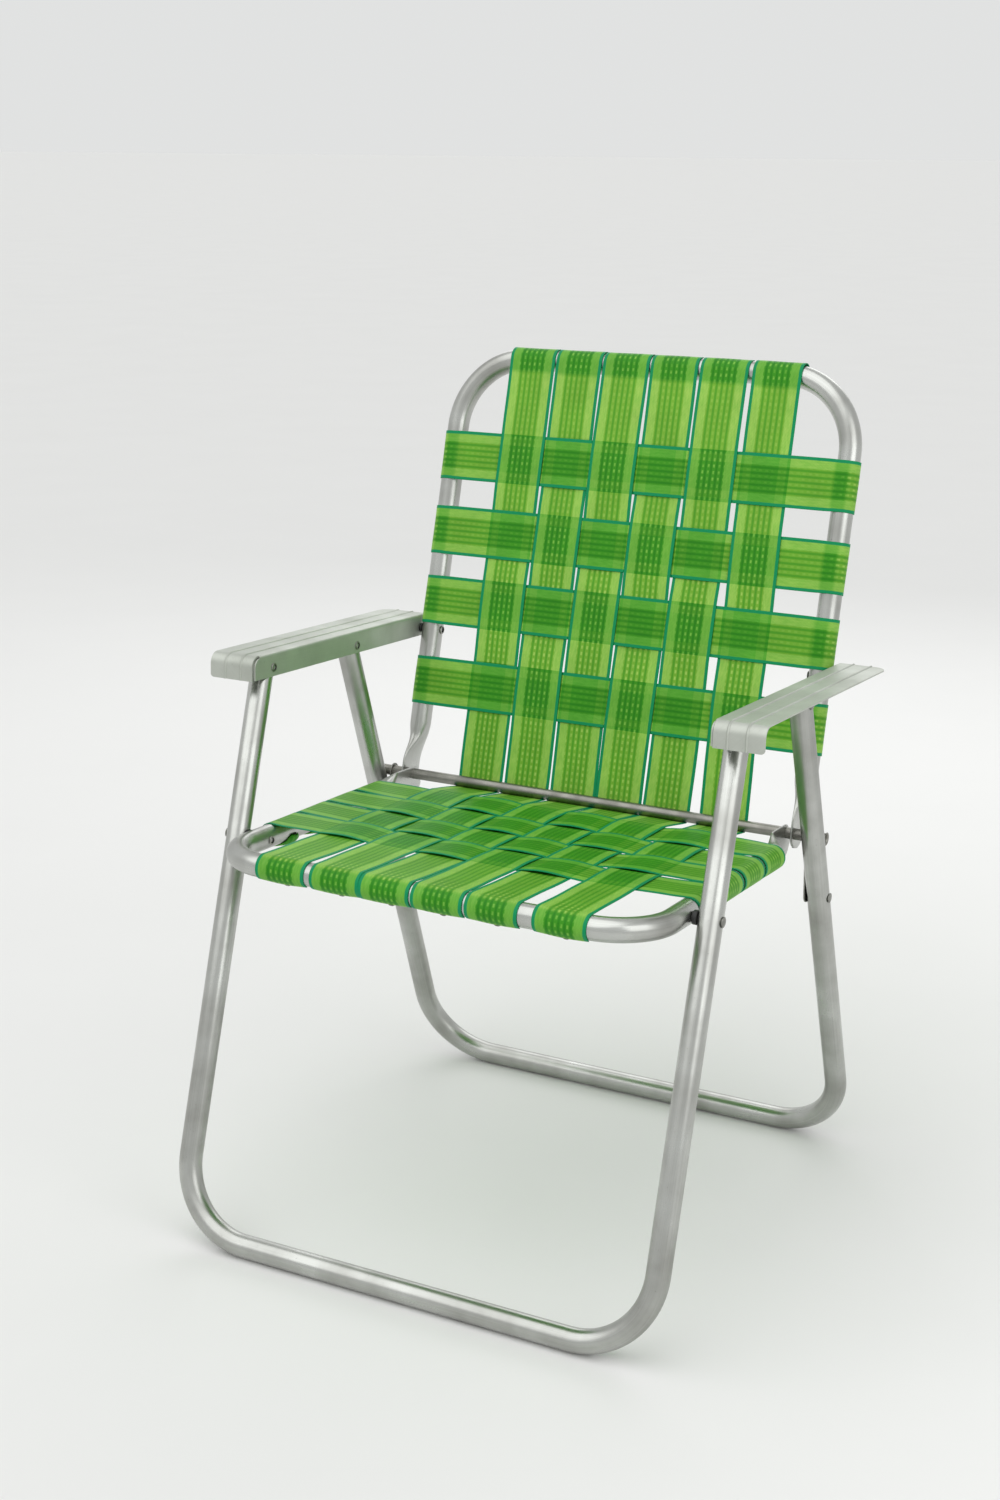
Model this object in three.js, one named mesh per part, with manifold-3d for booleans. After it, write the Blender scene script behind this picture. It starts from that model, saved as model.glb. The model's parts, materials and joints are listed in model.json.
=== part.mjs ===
// Folding lawn chair: four bent tube frames, sheet metal arms, a hinge rod and woven webbing.
// Millimetres, +Z up. The sitter faces -Y, and the origin is on the floor under the middle of the chair.
import * as THREE from 'three';
import { mergeVertices } from 'three/addons/utils/BufferGeometryUtils.js';
import Module from 'manifold-3d';

const wasm = await Module();
wasm.setup();

const radians = THREE.MathUtils.degToRad;

// Tube stock
const TUBE_DIAMETER = 25.4;
const TUBE_WALL = 1.3;
const TUBE_SIDES = 12;
const BEND_STEPS = 6;

// Clearance between pieces that touch or turn on each other
const RUNNING_GAP = 0.3;

// Leg frames: U shapes whose bars lie on the floor
const LEG_HALF_WIDTH = 279.6;
const LEG_BEND_RADIUS = 84;
const LEG_END_SIDES = 16;
const FRONT_FOOT_Y = -302.4;
const FRONT_LEAN = radians(18.0);
const REAR_FOOT_Y = 264.1;
const REAR_LEAN = radians(19.1);

// Back frame: a U turned over, with its bar at the top
const BACK_FLOOR_Y = 44.2;
const BACK_LEAN = radians(15.8);
const BACK_TOP_HEIGHT = 904.7;
const BACK_BEND_RADIUS = 85;

// Seat frame: a U with its bar in front, lower at the rear
const SEAT_TILT = radians(3.9);
const SEAT_FRONT_REACH = 88;
const SEAT_BEND_RADIUS = 62;

// Heights of the pivots above the floor
const ARM_FRONT_PIVOT_HEIGHT = 605.6;
const ARM_LEG_PIVOT_HEIGHT = 593.3;
const ARM_BACK_PIVOT_HEIGHT = 584.8;
const SEAT_PIVOT_HEIGHT = 428.2;
const LINK_PIVOT_HEIGHT = 351.0;
const ROD_HEIGHT = 420.0;

// Hinge rod: a thin tube with flared ends, which stops against the back of the rear legs
const ROD_DIAMETER = 12.7;
const ROD_WALL = 1.25;
const ROD_END_INSET = 5;
const ROD_FLARE = 1;
const ROD_FLARE_LENGTH = 2;
const ROD_SIDES = 12;

// Flattened ends of the seat and back tubes, which the rod runs through
const TAB_THICKNESS = 3.0;
const TAB_WIDTH = 39;
const SEAT_TAB_INSET = 10;
const BACK_TAB_INSET = -0.8;
const SEAT_TAB_SHIFT = 2;
const BACK_TAB_SHIFT = 9.5;
const SEAT_TAB_TIP = 14;
const BACK_TAB_TIP = 16;
const SEAT_TAB_LENGTH = 52;
const BACK_TAB_LENGTH = 30;
const SEAT_TAB_TAPER = 20;
const BACK_TAB_TAPER = 26;
const TAB_SIDE_FLATNESS = 0.3;
const TIP_BLUNTNESS = 0.2;
// Places of the sections, as shares of the rounded tip and of the taper
const TIP_SECTIONS = [0, 0.2, 0.55, 1];
const TAPER_SECTIONS = [0, 0.25, 0.5, 0.75, 1];

// Arms: sheet metal with an inner flange, a front flap and two pressed beads
const SHEET = 1.6;
const ARM_WIDTH = 57;
const ARM_LIFT = 16.2;
const ARM_FLANGE_DEPTH = 26;
const ARM_FRONT_REACH = 38;
const ARM_REAR_REACH = 10;
const ARM_FLAP_DEPTH = 27;
const ARM_BEND_RADIUS = 12;
const ARM_BEND_STEPS = 4;
const ARM_SEAM = 0.8;
const ARM_REAR_CORNER = 15;
const ARM_FLAP_CORNER = 4;
const FLANGE_CORNER = 6;
const BEAD_INSET = 18;
const BEAD_SPACING = 20;
const BEAD_HALF_WIDTH = 1.6;
const BEAD_HEIGHT = 0.7;
const FLANGE_CURVE_STEPS = 4;
// Places of the sections round a corner, as shares of its radius
const CORNER_SECTIONS = [0, 0.1, 0.35, 1];

// Links between the rod and the rear legs
const LINK_RADIUS = 9.2;
const LINK_CURVE_STEPS = 6;

// Rivets and spacers
const RIVET_RADIUS = 3.2;
const RIVET_BORE = 2.4;
const RIVET_BORE_DEPTH = 5;
const RIVET_RIM_RADIUS = 4.9;
const RIVET_RIM = 1.4;
const LINK_RIM = 0.9;
const RIVET_HEAD_RADIUS = 5.6;
const RIVET_HEAD = 1.6;
const HEAD_EDGE_SHARE = 0.3;
const HEAD_SHOULDER_SHARE = 0.85;
const HEAD_SHOULDER_RADIUS_SHARE = 0.6;
const RIM_TOP_RADIUS_SHARE = 0.8;
const RIM_SHOULDER_SHARE = 0.5;
const RIVET_SIDES = 10;
const SEAT_SPACER = 5.2;
const SEAT_SPACER_RADIUS = 7.5;
const ARM_SPACER = 3.5;
const ARM_SPACER_RADIUS = 5.5;

// Webbing
const STRAP_WIDTH = 58.5;
const STRAP_THICKNESS = 0.9;
const WRAP_STEPS = 8;
const WRAP_PAST_TUBE = radians(12);
const ROD_WRAP_STEPS = 4;
const WEAVE_STEP = 0.8;
const WEAVE_RAMP = 12;
const LONG_STRAP_GAP = 2.5;
const SEAT_CROSS_GAP = 1.5;
const SEAT_CROSS_STRAPS = 4;
const FIRST_SEAT_STRAP = 132;
// Gaps between the cross straps of the back, from the top down: the third one ends just over the arms' rivets
const BACK_CROSS_GAPS = [32.2, 26.3, 38];
const STRAP_ABOVE_RIVET = 1;
// How far each long strap was laced to one side of an even spacing, from the left one to the right one
const LACED_AT_FRONT = [-6.5, -1.5, -3.2, -4, -3.7, 11];
const LACED_AT_ROD = [2.3, 2.2, 2.2, 0.6, -0.5, 9];
const LACED_AT_TOP = [2.1, 0.5, -0.5, -0.2, 1.4, 2.8];

// Sizes that follow from the ones above
const TUBE_RADIUS = TUBE_DIAMETER / 2;
const FACET_ANGLE = Math.PI / TUBE_SIDES;
const FOOT_AXIS_HEIGHT = TUBE_RADIUS * Math.cos(FACET_ANGLE);
const LEG_INNER_X = LEG_HALF_WIDTH - TUBE_RADIUS;
const LEG_OUTER_X = LEG_HALF_WIDTH + TUBE_RADIUS;
const SEAT_HALF_WIDTH = LEG_INNER_X - SEAT_SPACER - 2 * RUNNING_GAP - TUBE_RADIUS;
const FLANGE_OUTER_X = LEG_INNER_X - RUNNING_GAP;
const FLANGE_INNER_X = FLANGE_OUTER_X - SHEET;
const BACK_HALF_WIDTH = FLANGE_INNER_X - ARM_SPACER - 2 * RUNNING_GAP - TUBE_RADIUS;
const ROD_RADIUS = ROD_DIAMETER / 2;
const ROD_HOLE = ROD_RADIUS + RUNNING_GAP;
const RIVET_HOLE = RIVET_RADIUS + RUNNING_GAP;
const LONG_STRAP_PITCH = STRAP_WIDTH + LONG_STRAP_GAP;
const WEAVE_OFFSET = (STRAP_THICKNESS + RUNNING_GAP) / 2;
const WRAP_STEP_HALF = (Math.PI + WRAP_PAST_TUBE) / (2 * WRAP_STEPS);
const WRAP_RADIUS = (TUBE_RADIUS + RUNNING_GAP) / Math.cos(WRAP_STEP_HALF) + STRAP_THICKNESS / 2;
const WEAVE_HEIGHT = WRAP_RADIUS + WEAVE_OFFSET;
const ROD_WRAP_RADIUS = ROD_RADIUS + RUNNING_GAP + STRAP_THICKNESS / 2;

// Materials
const aluminium = new THREE.MeshStandardMaterial({ color: 0xb4b6b1, roughness: 0.34, metalness: 1 });
const armMetal = new THREE.MeshStandardMaterial({ color: 0xc3c5be, roughness: 0.42, metalness: 1 });
const rodSteel = new THREE.MeshStandardMaterial({ color: 0x86867f, roughness: 0.4, metalness: 1 });
const rivetSteel = new THREE.MeshStandardMaterial({ color: 0x9b9c96, roughness: 0.38, metalness: 1 });
const blackPlastic = new THREE.MeshStandardMaterial({ color: 0x1d1e1d, roughness: 0.6, metalness: 0 });
const webbing = new THREE.MeshStandardMaterial({ color: 0x5aa43c, roughness: 0.55, metalness: 0 });

// Geometry helpers

// Turns a closed geometry's faces outwards, so that its volume counts as positive.
function facingOut(geometry) {
  const index = geometry.index.array;
  const at = geometry.attributes.position;
  const [a, b, c] = [new THREE.Vector3(), new THREE.Vector3(), new THREE.Vector3()];
  let volume = 0;
  for (let i = 0; i < index.length; i += 3) {
    a.fromBufferAttribute(at, index[i]);
    b.fromBufferAttribute(at, index[i + 1]);
    c.fromBufferAttribute(at, index[i + 2]);
    volume += a.dot(b.cross(c));
  }
  if (volume < 0) {
    for (let i = 0; i < index.length; i += 3) {
      [index[i], index[i + 1]] = [index[i + 1], index[i]];
    }
  }
  geometry.computeVertexNormals();
  return geometry;
}

function indexed(points, triangles) {
  const geometry = new THREE.BufferGeometry().setFromPoints(points);
  geometry.setIndex(triangles);
  return facingOut(geometry);
}

function ringFaces(triangles, first, rings, sides, flip) {
  for (let ring = 0; ring < rings - 1; ring++) {
    for (let side = 0; side < sides; side++) {
      const next = (side + 1) % sides;
      const a = first + ring * sides + side;
      const b = first + ring * sides + next;
      const [c, d] = [b + sides, a + sides];
      triangles.push(...(flip ? [a, c, b, a, d, c] : [a, b, c, a, c, d]));
    }
  }
}

// Joins outer and inner rings into a tube wall with open ends.
function tubeWall(outer, inner) {
  const sides = outer[0].length;
  const innerStart = outer.length * sides;
  const triangles = [];
  ringFaces(triangles, 0, outer.length, sides, false);
  ringFaces(triangles, innerStart, inner.length, sides, true);
  const lastRing = (outer.length - 1) * sides;
  for (let side = 0; side < sides; side++) {
    const next = (side + 1) % sides;
    triangles.push(next, side, innerStart + side, next, innerStart + side, innerStart + next);
    const [a, b] = [lastRing + side, lastRing + next];
    const [c, d] = [innerStart + lastRing + side, innerStart + lastRing + next];
    triangles.push(a, b, d, a, d, c);
  }
  return indexed([...outer.flat(), ...inner.flat()], triangles);
}

// Joins rings whose first half is a strip's upper side and whose second half is its lower side, run back.
function stripLoft(rings) {
  const sides = rings[0].length;
  const triangles = [];
  ringFaces(triangles, 0, rings.length, sides, false);
  const last = (rings.length - 1) * sides;
  for (let k = 0; k < sides / 2 - 1; k++) {
    const [a, b, c, d] = [k, k + 1, sides - 2 - k, sides - 1 - k];
    triangles.push(b, a, d, b, d, c);
    triangles.push(last + a, last + b, last + c, last + a, last + c, last + d);
  }
  return indexed(rings.flat(), triangles);
}

function manifoldOf(geometry) {
  const bare = geometry.clone();
  bare.deleteAttribute('normal');
  bare.deleteAttribute('uv');
  const merged = mergeVertices(bare, 1e-4);
  return new wasm.Manifold(new wasm.Mesh({
    numProp: 3,
    vertProperties: new Float32Array(merged.attributes.position.array),
    triVerts: new Uint32Array(merged.index.array),
  }));
}

function geometryOf(manifold) {
  const mesh = manifold.getMesh();
  const geometry = new THREE.BufferGeometry();
  geometry.setAttribute('position', new THREE.BufferAttribute(mesh.vertProperties, 3));
  geometry.setIndex(new THREE.BufferAttribute(mesh.triVerts, 1));
  geometry.computeVertexNormals();
  return geometry;
}

function cut(geometry, tools) {
  return geometryOf(tools.reduce((solid, tool) => solid.subtract(manifoldOf(tool)), manifoldOf(geometry)));
}

// A round bar along X, from one place to another, at a point of the YZ plane.
function barAlongX(radius, fromX, toX, at, sides) {
  const bar = new THREE.CylinderGeometry(radius, radius, Math.abs(toX - fromX), sides);
  return bar.rotateZ(Math.PI / 2).translate((fromX + toX) / 2, at.y, at.z);
}

// A turned piece about the X axis: its profile is a list of radius and distance along X.
function turned(profile, sides) {
  const points = profile.map(([radius, along]) => new THREE.Vector2(radius, along));
  return facingOut(new THREE.LatheGeometry(points, sides).rotateZ(-Math.PI / 2));
}

// Holes for a rivet through both sides of a frame
function rivetHoles(pivot, reach) {
  return [barAlongX(RIVET_HOLE, -reach, reach, pivot, RIVET_SIDES)];
}

const smooth = (t) => THREE.MathUtils.smoothstep(t, 0, 1);
const lerp = THREE.MathUtils.lerp;

// Pivots in the side view, as points of the plane X = 0
const alongFrontLeg = (z) => FRONT_FOOT_Y + Math.tan(FRONT_LEAN) * (z - FOOT_AXIS_HEIGHT);
const alongRearLeg = (z) => REAR_FOOT_Y - Math.tan(REAR_LEAN) * (z - FOOT_AXIS_HEIGHT);
const alongBack = (z) => BACK_FLOOR_Y + Math.tan(BACK_LEAN) * z;
const armFrontPivot = new THREE.Vector3(0, alongFrontLeg(ARM_FRONT_PIVOT_HEIGHT), ARM_FRONT_PIVOT_HEIGHT);
const armLegPivot = new THREE.Vector3(0, alongRearLeg(ARM_LEG_PIVOT_HEIGHT), ARM_LEG_PIVOT_HEIGHT);
const armBackPivot = new THREE.Vector3(0, alongBack(ARM_BACK_PIVOT_HEIGHT), ARM_BACK_PIVOT_HEIGHT);
const seatPivot = new THREE.Vector3(0, alongFrontLeg(SEAT_PIVOT_HEIGHT), SEAT_PIVOT_HEIGHT);
const linkPivot = new THREE.Vector3(0, alongRearLeg(LINK_PIVOT_HEIGHT), LINK_PIVOT_HEIGHT);
const rodBehindLeg = (TUBE_RADIUS + ROD_RADIUS + RUNNING_GAP) / Math.cos(REAR_LEAN);
const rod = new THREE.Vector3(0, alongRearLeg(ROD_HEIGHT) + rodBehindLeg, ROD_HEIGHT);

// Groups, each in its own frame: X across, with the frame's plane in X and Z
const chair = new THREE.Group();

function groupAt(position, turn) {
  const group = new THREE.Group();
  group.position.copy(position);
  group.rotation.x = turn;
  chair.add(group);
  group.updateMatrixWorld(true);
  return group;
}

const local = (group, point) => group.worldToLocal(point.clone());

function addPiece(group, name, geometry, material) {
  const piece = new THREE.Mesh(geometry, material);
  piece.name = name;
  group.add(piece);
}

const frontLegs = groupAt(new THREE.Vector3(0, FRONT_FOOT_Y, FOOT_AXIS_HEIGHT), -FRONT_LEAN);
const rearLegs = groupAt(new THREE.Vector3(0, REAR_FOOT_Y, FOOT_AXIS_HEIGHT), REAR_LEAN);
const back = groupAt(new THREE.Vector3(0, alongBack(BACK_TOP_HEIGHT), BACK_TOP_HEIGHT), Math.PI - BACK_LEAN);
const seatFrontBar = new THREE.Vector3(0, -Math.cos(SEAT_TILT), Math.sin(SEAT_TILT))
  .multiplyScalar(SEAT_FRONT_REACH).add(seatPivot);
const seat = groupAt(seatFrontBar, Math.PI / 2 - SEAT_TILT);
const armTilt = Math.atan2(armFrontPivot.z - armBackPivot.z, armBackPivot.y - armFrontPivot.y);
const arms = groupAt(armFrontPivot, -armTilt);
const linkDirection = linkPivot.clone().sub(rod);
const links = groupAt(rod, Math.atan2(linkDirection.y, -linkDirection.z));

// Tube frames

// Stations of a U in its plane: the bar lies along X at 0, and the sides run up to the given length.
function uStations(halfWidth, length, bend, fromEnds) {
  const stations = [];
  const onSide = (side, fromEnd) => {
    stations.push({ x: side * halfWidth, along: length - fromEnd, nx: side, na: 0, fromEnd });
  };
  const corner = (side, start) => {
    for (let step = 0; step <= BEND_STEPS; step++) {
      const angle = start + (Math.PI / 2) * (step / BEND_STEPS);
      const [nx, na] = [Math.cos(angle), Math.sin(angle)];
      const x = side * (halfWidth - bend) + bend * nx;
      stations.push({ x, along: bend + bend * na, nx, na, fromEnd: Infinity });
    }
  };
  fromEnds.forEach((distance) => onSide(-1, distance));
  corner(-1, Math.PI);
  corner(1, 1.5 * Math.PI);
  [...fromEnds].reverse().forEach((distance) => onSide(1, distance));
  return stations;
}

const roundForm = { thick: TUBE_RADIUS, wide: TUBE_RADIUS, power: 1, inwards: 0, raised: 0 };

// A point of a tube's section: across the wall plane by power, so that a flattened tube gets straight sides.
function sectionPoint(station, form, wall, angle, direction) {
  const [c, s] = [Math.cos(angle), Math.sin(angle)];
  const outwards = Math.sign(c) * Math.abs(c) ** form.power * (form.thick - wall) - form.inwards;
  const raised = s * (form.wide - wall) + form.raised;
  return new THREE.Vector3(
    station.x + station.nx * outwards,
    raised,
    direction * (station.along + station.na * outwards),
  );
}

// A bent tube whose legs run along +Z or -Z, with its section turned so that one facet faces a given way.
function uTube(stations, direction, facetAngle, formAt) {
  const ringsAt = (wallOf) => stations.map((station) => {
    const form = formAt(station.fromEnd);
    return Array.from({ length: TUBE_SIDES }, (_, side) => {
      const angle = facetAngle + FACET_ANGLE * (2 * side + 1);
      return sectionPoint(station, form, wallOf(form), angle, direction);
    });
  });
  return tubeWall(ringsAt(() => 0), ringsAt(() => TUBE_WALL));
}

// A tool that leaves the end of a leg round about its rivet, so that it turns under the arm
function legEndTool(pivot) {
  const size = 4 * TUBE_DIAMETER;
  const reach = LEG_OUTER_X + size;
  const block = new THREE.BoxGeometry(2 * reach, size, size).translate(0, pivot.y, pivot.z + size / 2);
  const end = barAlongX(TUBE_RADIUS + RUNNING_GAP / 2, -reach - size, reach + size, pivot, LEG_END_SIDES);
  return geometryOf(manifoldOf(block).subtract(manifoldOf(end)));
}

function legFrame(group, topPivot, lowerPivot, lean) {
  const top = local(group, topPivot);
  const lower = local(group, lowerPivot);
  const stations = uStations(LEG_HALF_WIDTH, top.z + TUBE_RADIUS + RUNNING_GAP, LEG_BEND_RADIUS, [0]);
  const tube = uTube(stations, 1, -Math.PI / 2 + lean, () => roundForm);
  const reach = LEG_OUTER_X + TUBE_DIAMETER;
  return cut(tube, [...rivetHoles(top, reach), ...rivetHoles(lower, reach), legEndTool(top)]);
}

addPiece(frontLegs, 'front_leg_frame', legFrame(frontLegs, armFrontPivot, seatPivot, FRONT_LEAN), aluminium);
addPiece(rearLegs, 'rear_leg_frame', legFrame(rearLegs, armLegPivot, linkPivot, -REAR_LEAN), aluminium);

// The form of a tube that ends in a flat tab with a rounded tip
function tabForm(fromEnd, tab) {
  const flat = 1 - smooth((fromEnd - tab.length) / tab.taper);
  const tip = Math.min(fromEnd / tab.tip, 1);
  const roundedTip = Math.sqrt(Math.max(1 - (1 - tip) ** 2, TIP_BLUNTNESS));
  return {
    thick: lerp(TUBE_RADIUS, TAB_THICKNESS / 2, flat),
    wide: lerp(TUBE_RADIUS, TAB_WIDTH / 2, flat) * roundedTip,
    power: lerp(1, TAB_SIDE_FLATNESS, flat),
    inwards: flat * tab.inwards,
    raised: flat * tab.raised,
  };
}

function tabStations(tab) {
  const tip = TIP_SECTIONS.map((share) => share * tab.tip);
  const taper = TAPER_SECTIONS.map((share) => tab.length + share * tab.taper);
  return [...tip, ...taper];
}

function tabbedFrame(group, halfWidth, bend, direction, tab, pivot) {
  const atRod = local(group, rod);
  const length = Math.abs(atRod.z) + tab.tip;
  const stations = uStations(halfWidth, length, bend, tabStations(tab));
  const tube = uTube(stations, direction, -Math.PI / 2, (fromEnd) => tabForm(fromEnd, tab));
  const rodHole = barAlongX(ROD_HOLE, -LEG_HALF_WIDTH, LEG_HALF_WIDTH, atRod, ROD_SIDES);
  return cut(tube, [rodHole, ...rivetHoles(local(group, pivot), LEG_HALF_WIDTH)]);
}

const seatTab = {
  tip: SEAT_TAB_TIP, length: SEAT_TAB_LENGTH, taper: SEAT_TAB_TAPER,
  inwards: SEAT_TAB_INSET, raised: SEAT_TAB_SHIFT,
};
const backTab = {
  tip: BACK_TAB_TIP, length: BACK_TAB_LENGTH, taper: BACK_TAB_TAPER,
  inwards: BACK_TAB_INSET, raised: BACK_TAB_SHIFT,
};
const seatFrame = tabbedFrame(seat, SEAT_HALF_WIDTH, SEAT_BEND_RADIUS, -1, seatTab, seatPivot);
const backFrame = tabbedFrame(back, BACK_HALF_WIDTH, BACK_BEND_RADIUS, 1, backTab, armBackPivot);
addPiece(seat, 'seat_frame', seatFrame, aluminium);
addPiece(back, 'back_frame', backFrame, aluminium);

// Hinge rod and links

function hingeRod() {
  const half = LEG_OUTER_X - ROD_END_INSET;
  const bore = ROD_RADIUS - ROD_WALL;
  const outside = (side) => [
    [ROD_RADIUS, side * (half - ROD_FLARE_LENGTH)],
    [ROD_RADIUS + ROD_FLARE, side * (half - ROD_FLARE_LENGTH / 2)],
    [ROD_RADIUS + ROD_FLARE, side * half],
  ];
  const lip = [bore + ROD_FLARE, half];
  const throat = [bore, half - ROD_FLARE_LENGTH];
  const mirrored = ([radius, along]) => [radius, -along];
  const right = [...outside(1), lip, throat];
  const left = [...outside(-1), mirrored(lip), mirrored(throat)];
  return turned([...left.reverse(), ...right, left[0]], ROD_SIDES);
}

addPiece(links, 'hinge_rod', hingeRod(), rodSteel);

const sides = [['left', -1], ['right', 1]];
const LINK_OUTER_X = LEG_INNER_X - RUNNING_GAP;
const LINK_INNER_X = LINK_OUTER_X - SHEET;

// A flat strap with round ends, drawn in the YZ plane with the rod's hole at the origin
function link(side) {
  const length = linkDirection.length();
  const outline = new THREE.Shape();
  outline.absarc(0, 0, LINK_RADIUS, 0, Math.PI, false);
  outline.absarc(0, -length, LINK_RADIUS, Math.PI, 2 * Math.PI, false);
  const hole = (height, radius) => {
    outline.holes.push(new THREE.Path().absarc(0, height, radius, 0, 2 * Math.PI, true));
  };
  hole(0, ROD_HOLE);
  hole(-length, RIVET_HOLE);
  const flat = new THREE.ExtrudeGeometry(outline, {
    depth: SHEET, bevelEnabled: false, curveSegments: LINK_CURVE_STEPS,
  });
  const axes = new THREE.Matrix4().makeBasis(
    new THREE.Vector3(0, 1, 0), new THREE.Vector3(0, 0, 1), new THREE.Vector3(1, 0, 0));
  return flat.applyMatrix4(axes).translate(side > 0 ? LINK_INNER_X : -LINK_OUTER_X, 0, 0);
}

sides.forEach(([name, side]) => addPiece(links, `${name}_link`, link(side), rivetSteel));

// Arms

const ARM_OUTER_X = FLANGE_INNER_X + ARM_WIDTH;
const armLength = armFrontPivot.distanceTo(armBackPivot);
const armRear = armLength + ARM_REAR_REACH;

// How far a rounded corner draws the outer edge in, at a distance from the end
function cornerInset(fromEnd, radius) {
  const depth = Math.max(radius - fromEnd, 0);
  return radius - Math.sqrt(radius ** 2 - depth ** 2);
}

// Stations of the plate from its rear end over the front bend to the flap's lower edge
function plateStations() {
  const height = ARM_LIFT - SHEET / 2;
  const bendMiddle = ARM_BEND_RADIUS - SHEET / 2;
  const bendStart = -ARM_FRONT_REACH + ARM_BEND_RADIUS;
  const stations = CORNER_SECTIONS.map((share) => {
    const fromEnd = share * ARM_REAR_CORNER;
    const inset = cornerInset(fromEnd, ARM_REAR_CORNER);
    return { y: armRear - fromEnd, z: height, ny: 0, nz: 1, inset };
  });
  for (let step = 0; step <= ARM_BEND_STEPS; step++) {
    const angle = Math.PI / 2 + (Math.PI / 2) * (step / ARM_BEND_STEPS);
    const [ny, nz] = [Math.cos(angle), Math.sin(angle)];
    const y = bendStart + bendMiddle * ny;
    const z = height - bendMiddle + bendMiddle * nz;
    stations.push({ y, z, ny, nz, inset: 0 });
  }
  CORNER_SECTIONS.slice().reverse().forEach((share) => {
    const fromEnd = share * ARM_FLAP_CORNER;
    const z = ARM_LIFT - ARM_FLAP_DEPTH + fromEnd;
    const inset = cornerInset(fromEnd, ARM_FLAP_CORNER);
    stations.push({ y: bendStart - bendMiddle, z, ny: -1, nz: 0, inset });
  });
  return stations;
}

function armPlate(side) {
  const bead = (middle) => [
    [middle - BEAD_HALF_WIDTH, 0], [middle, BEAD_HEIGHT], [middle + BEAD_HALF_WIDTH, 0],
  ];
  const beads = [...bead(BEAD_INSET), ...bead(BEAD_INSET + BEAD_SPACING)];
  const rings = plateStations().map((station) => {
    const section = [[0, 0], ...beads, [ARM_WIDTH - station.inset, 0]];
    const at = ([across, rise], face) => {
      const out = rise + face * SHEET / 2;
      const x = side * (FLANGE_INNER_X + across);
      return new THREE.Vector3(x, station.y + out * station.ny, station.z + out * station.nz);
    };
    const upper = section.map((point) => at(point, 1));
    const lower = section.map((point) => at(point, -1));
    return [...upper, ...lower.reverse()];
  });
  return stripLoft(rings);
}

// The inner flange, drawn in the arm's YZ plane: its front edge follows the bend, a seam's width inside it
function armFlange(side) {
  const top = ARM_LIFT - SHEET / 2;
  const bottom = ARM_LIFT - ARM_FLANGE_DEPTH;
  const insideBend = ARM_BEND_RADIUS - SHEET - ARM_SEAM;
  const bendStart = -ARM_FRONT_REACH + ARM_BEND_RADIUS;
  const bendHeight = ARM_LIFT - ARM_BEND_RADIUS;
  const outline = new THREE.Shape();
  outline.moveTo(bendStart - insideBend, bottom);
  outline.lineTo(armRear - FLANGE_CORNER, bottom);
  outline.absarc(armRear - FLANGE_CORNER, bottom + FLANGE_CORNER, FLANGE_CORNER, -Math.PI / 2, 0, false);
  outline.lineTo(armRear, top);
  outline.lineTo(bendStart, top);
  outline.absarc(bendStart, bendHeight, insideBend, Math.PI / 2, Math.PI, false);
  const flat = new THREE.ExtrudeGeometry(outline, {
    depth: SHEET, bevelEnabled: false, curveSegments: FLANGE_CURVE_STEPS,
  });
  const axes = new THREE.Matrix4().makeBasis(
    new THREE.Vector3(0, 1, 0), new THREE.Vector3(0, 0, 1), new THREE.Vector3(1, 0, 0));
  return flat.applyMatrix4(axes).translate(side > 0 ? FLANGE_INNER_X : -FLANGE_OUTER_X, 0, 0);
}

function arm(side) {
  const sheet = geometryOf(manifoldOf(armPlate(side)).add(manifoldOf(armFlange(side))));
  const pivots = [armFrontPivot, armLegPivot, armBackPivot];
  return cut(sheet, pivots.flatMap((pivot) => rivetHoles(local(arms, pivot), ARM_OUTER_X)));
}

sides.forEach(([name, side]) => addPiece(arms, `${name}_arm`, arm(side), armMetal));

// Rivets and spacers, turned about X and set on their pivots

// A domed head on the far end of a shank, outside the given place
const domedHead = (x) => [
  [RIVET_RADIUS, x],
  [RIVET_HEAD_RADIUS, x],
  [RIVET_HEAD_RADIUS, x + HEAD_EDGE_SHARE * RIVET_HEAD],
  [HEAD_SHOULDER_RADIUS_SHARE * RIVET_HEAD_RADIUS, x + HEAD_SHOULDER_SHARE * RIVET_HEAD],
  [0, x + RIVET_HEAD],
];

// A hollow end rolled over inside the given place
const rolledRim = (x, rim) => [
  [0, x - rim + RIVET_BORE_DEPTH],
  [RIVET_BORE, x - rim + RIVET_BORE_DEPTH],
  [RIVET_BORE, x - rim],
  [RIM_TOP_RADIUS_SHARE * RIVET_RIM_RADIUS, x - rim],
  [RIVET_RIM_RADIUS, x - RIM_SHOULDER_SHARE * rim],
  [RIVET_RIM_RADIUS, x],
  [RIVET_RADIUS, x],
];

const throughRivet = (innerX, outerX) => [
  ...rolledRim(innerX - RUNNING_GAP, RIVET_RIM), ...domedHead(outerX + RUNNING_GAP),
];
const legRivet = [
  [0, LEG_INNER_X], [RIVET_RADIUS, LEG_INNER_X], ...domedHead(LEG_OUTER_X + RUNNING_GAP),
];
// A rim with a stub that fills a sheet's hole, for the pivots whose leg holds the other half of the rivet
const sheetRivet = (innerX, outerX, rim) => [
  [0, innerX],
  [RIVET_BORE, innerX],
  ...rolledRim(innerX - RUNNING_GAP, rim).slice(2),
  [RIVET_RADIUS, outerX],
  [0, outerX],
];
const spacer = (innerX, length, radius) => {
  const [from, to] = [innerX + RUNNING_GAP, innerX + RUNNING_GAP + length];
  return [[RIVET_HOLE, from], [radius, from], [radius, to], [RIVET_HOLE, to], [RIVET_HOLE, from]];
};

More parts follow.
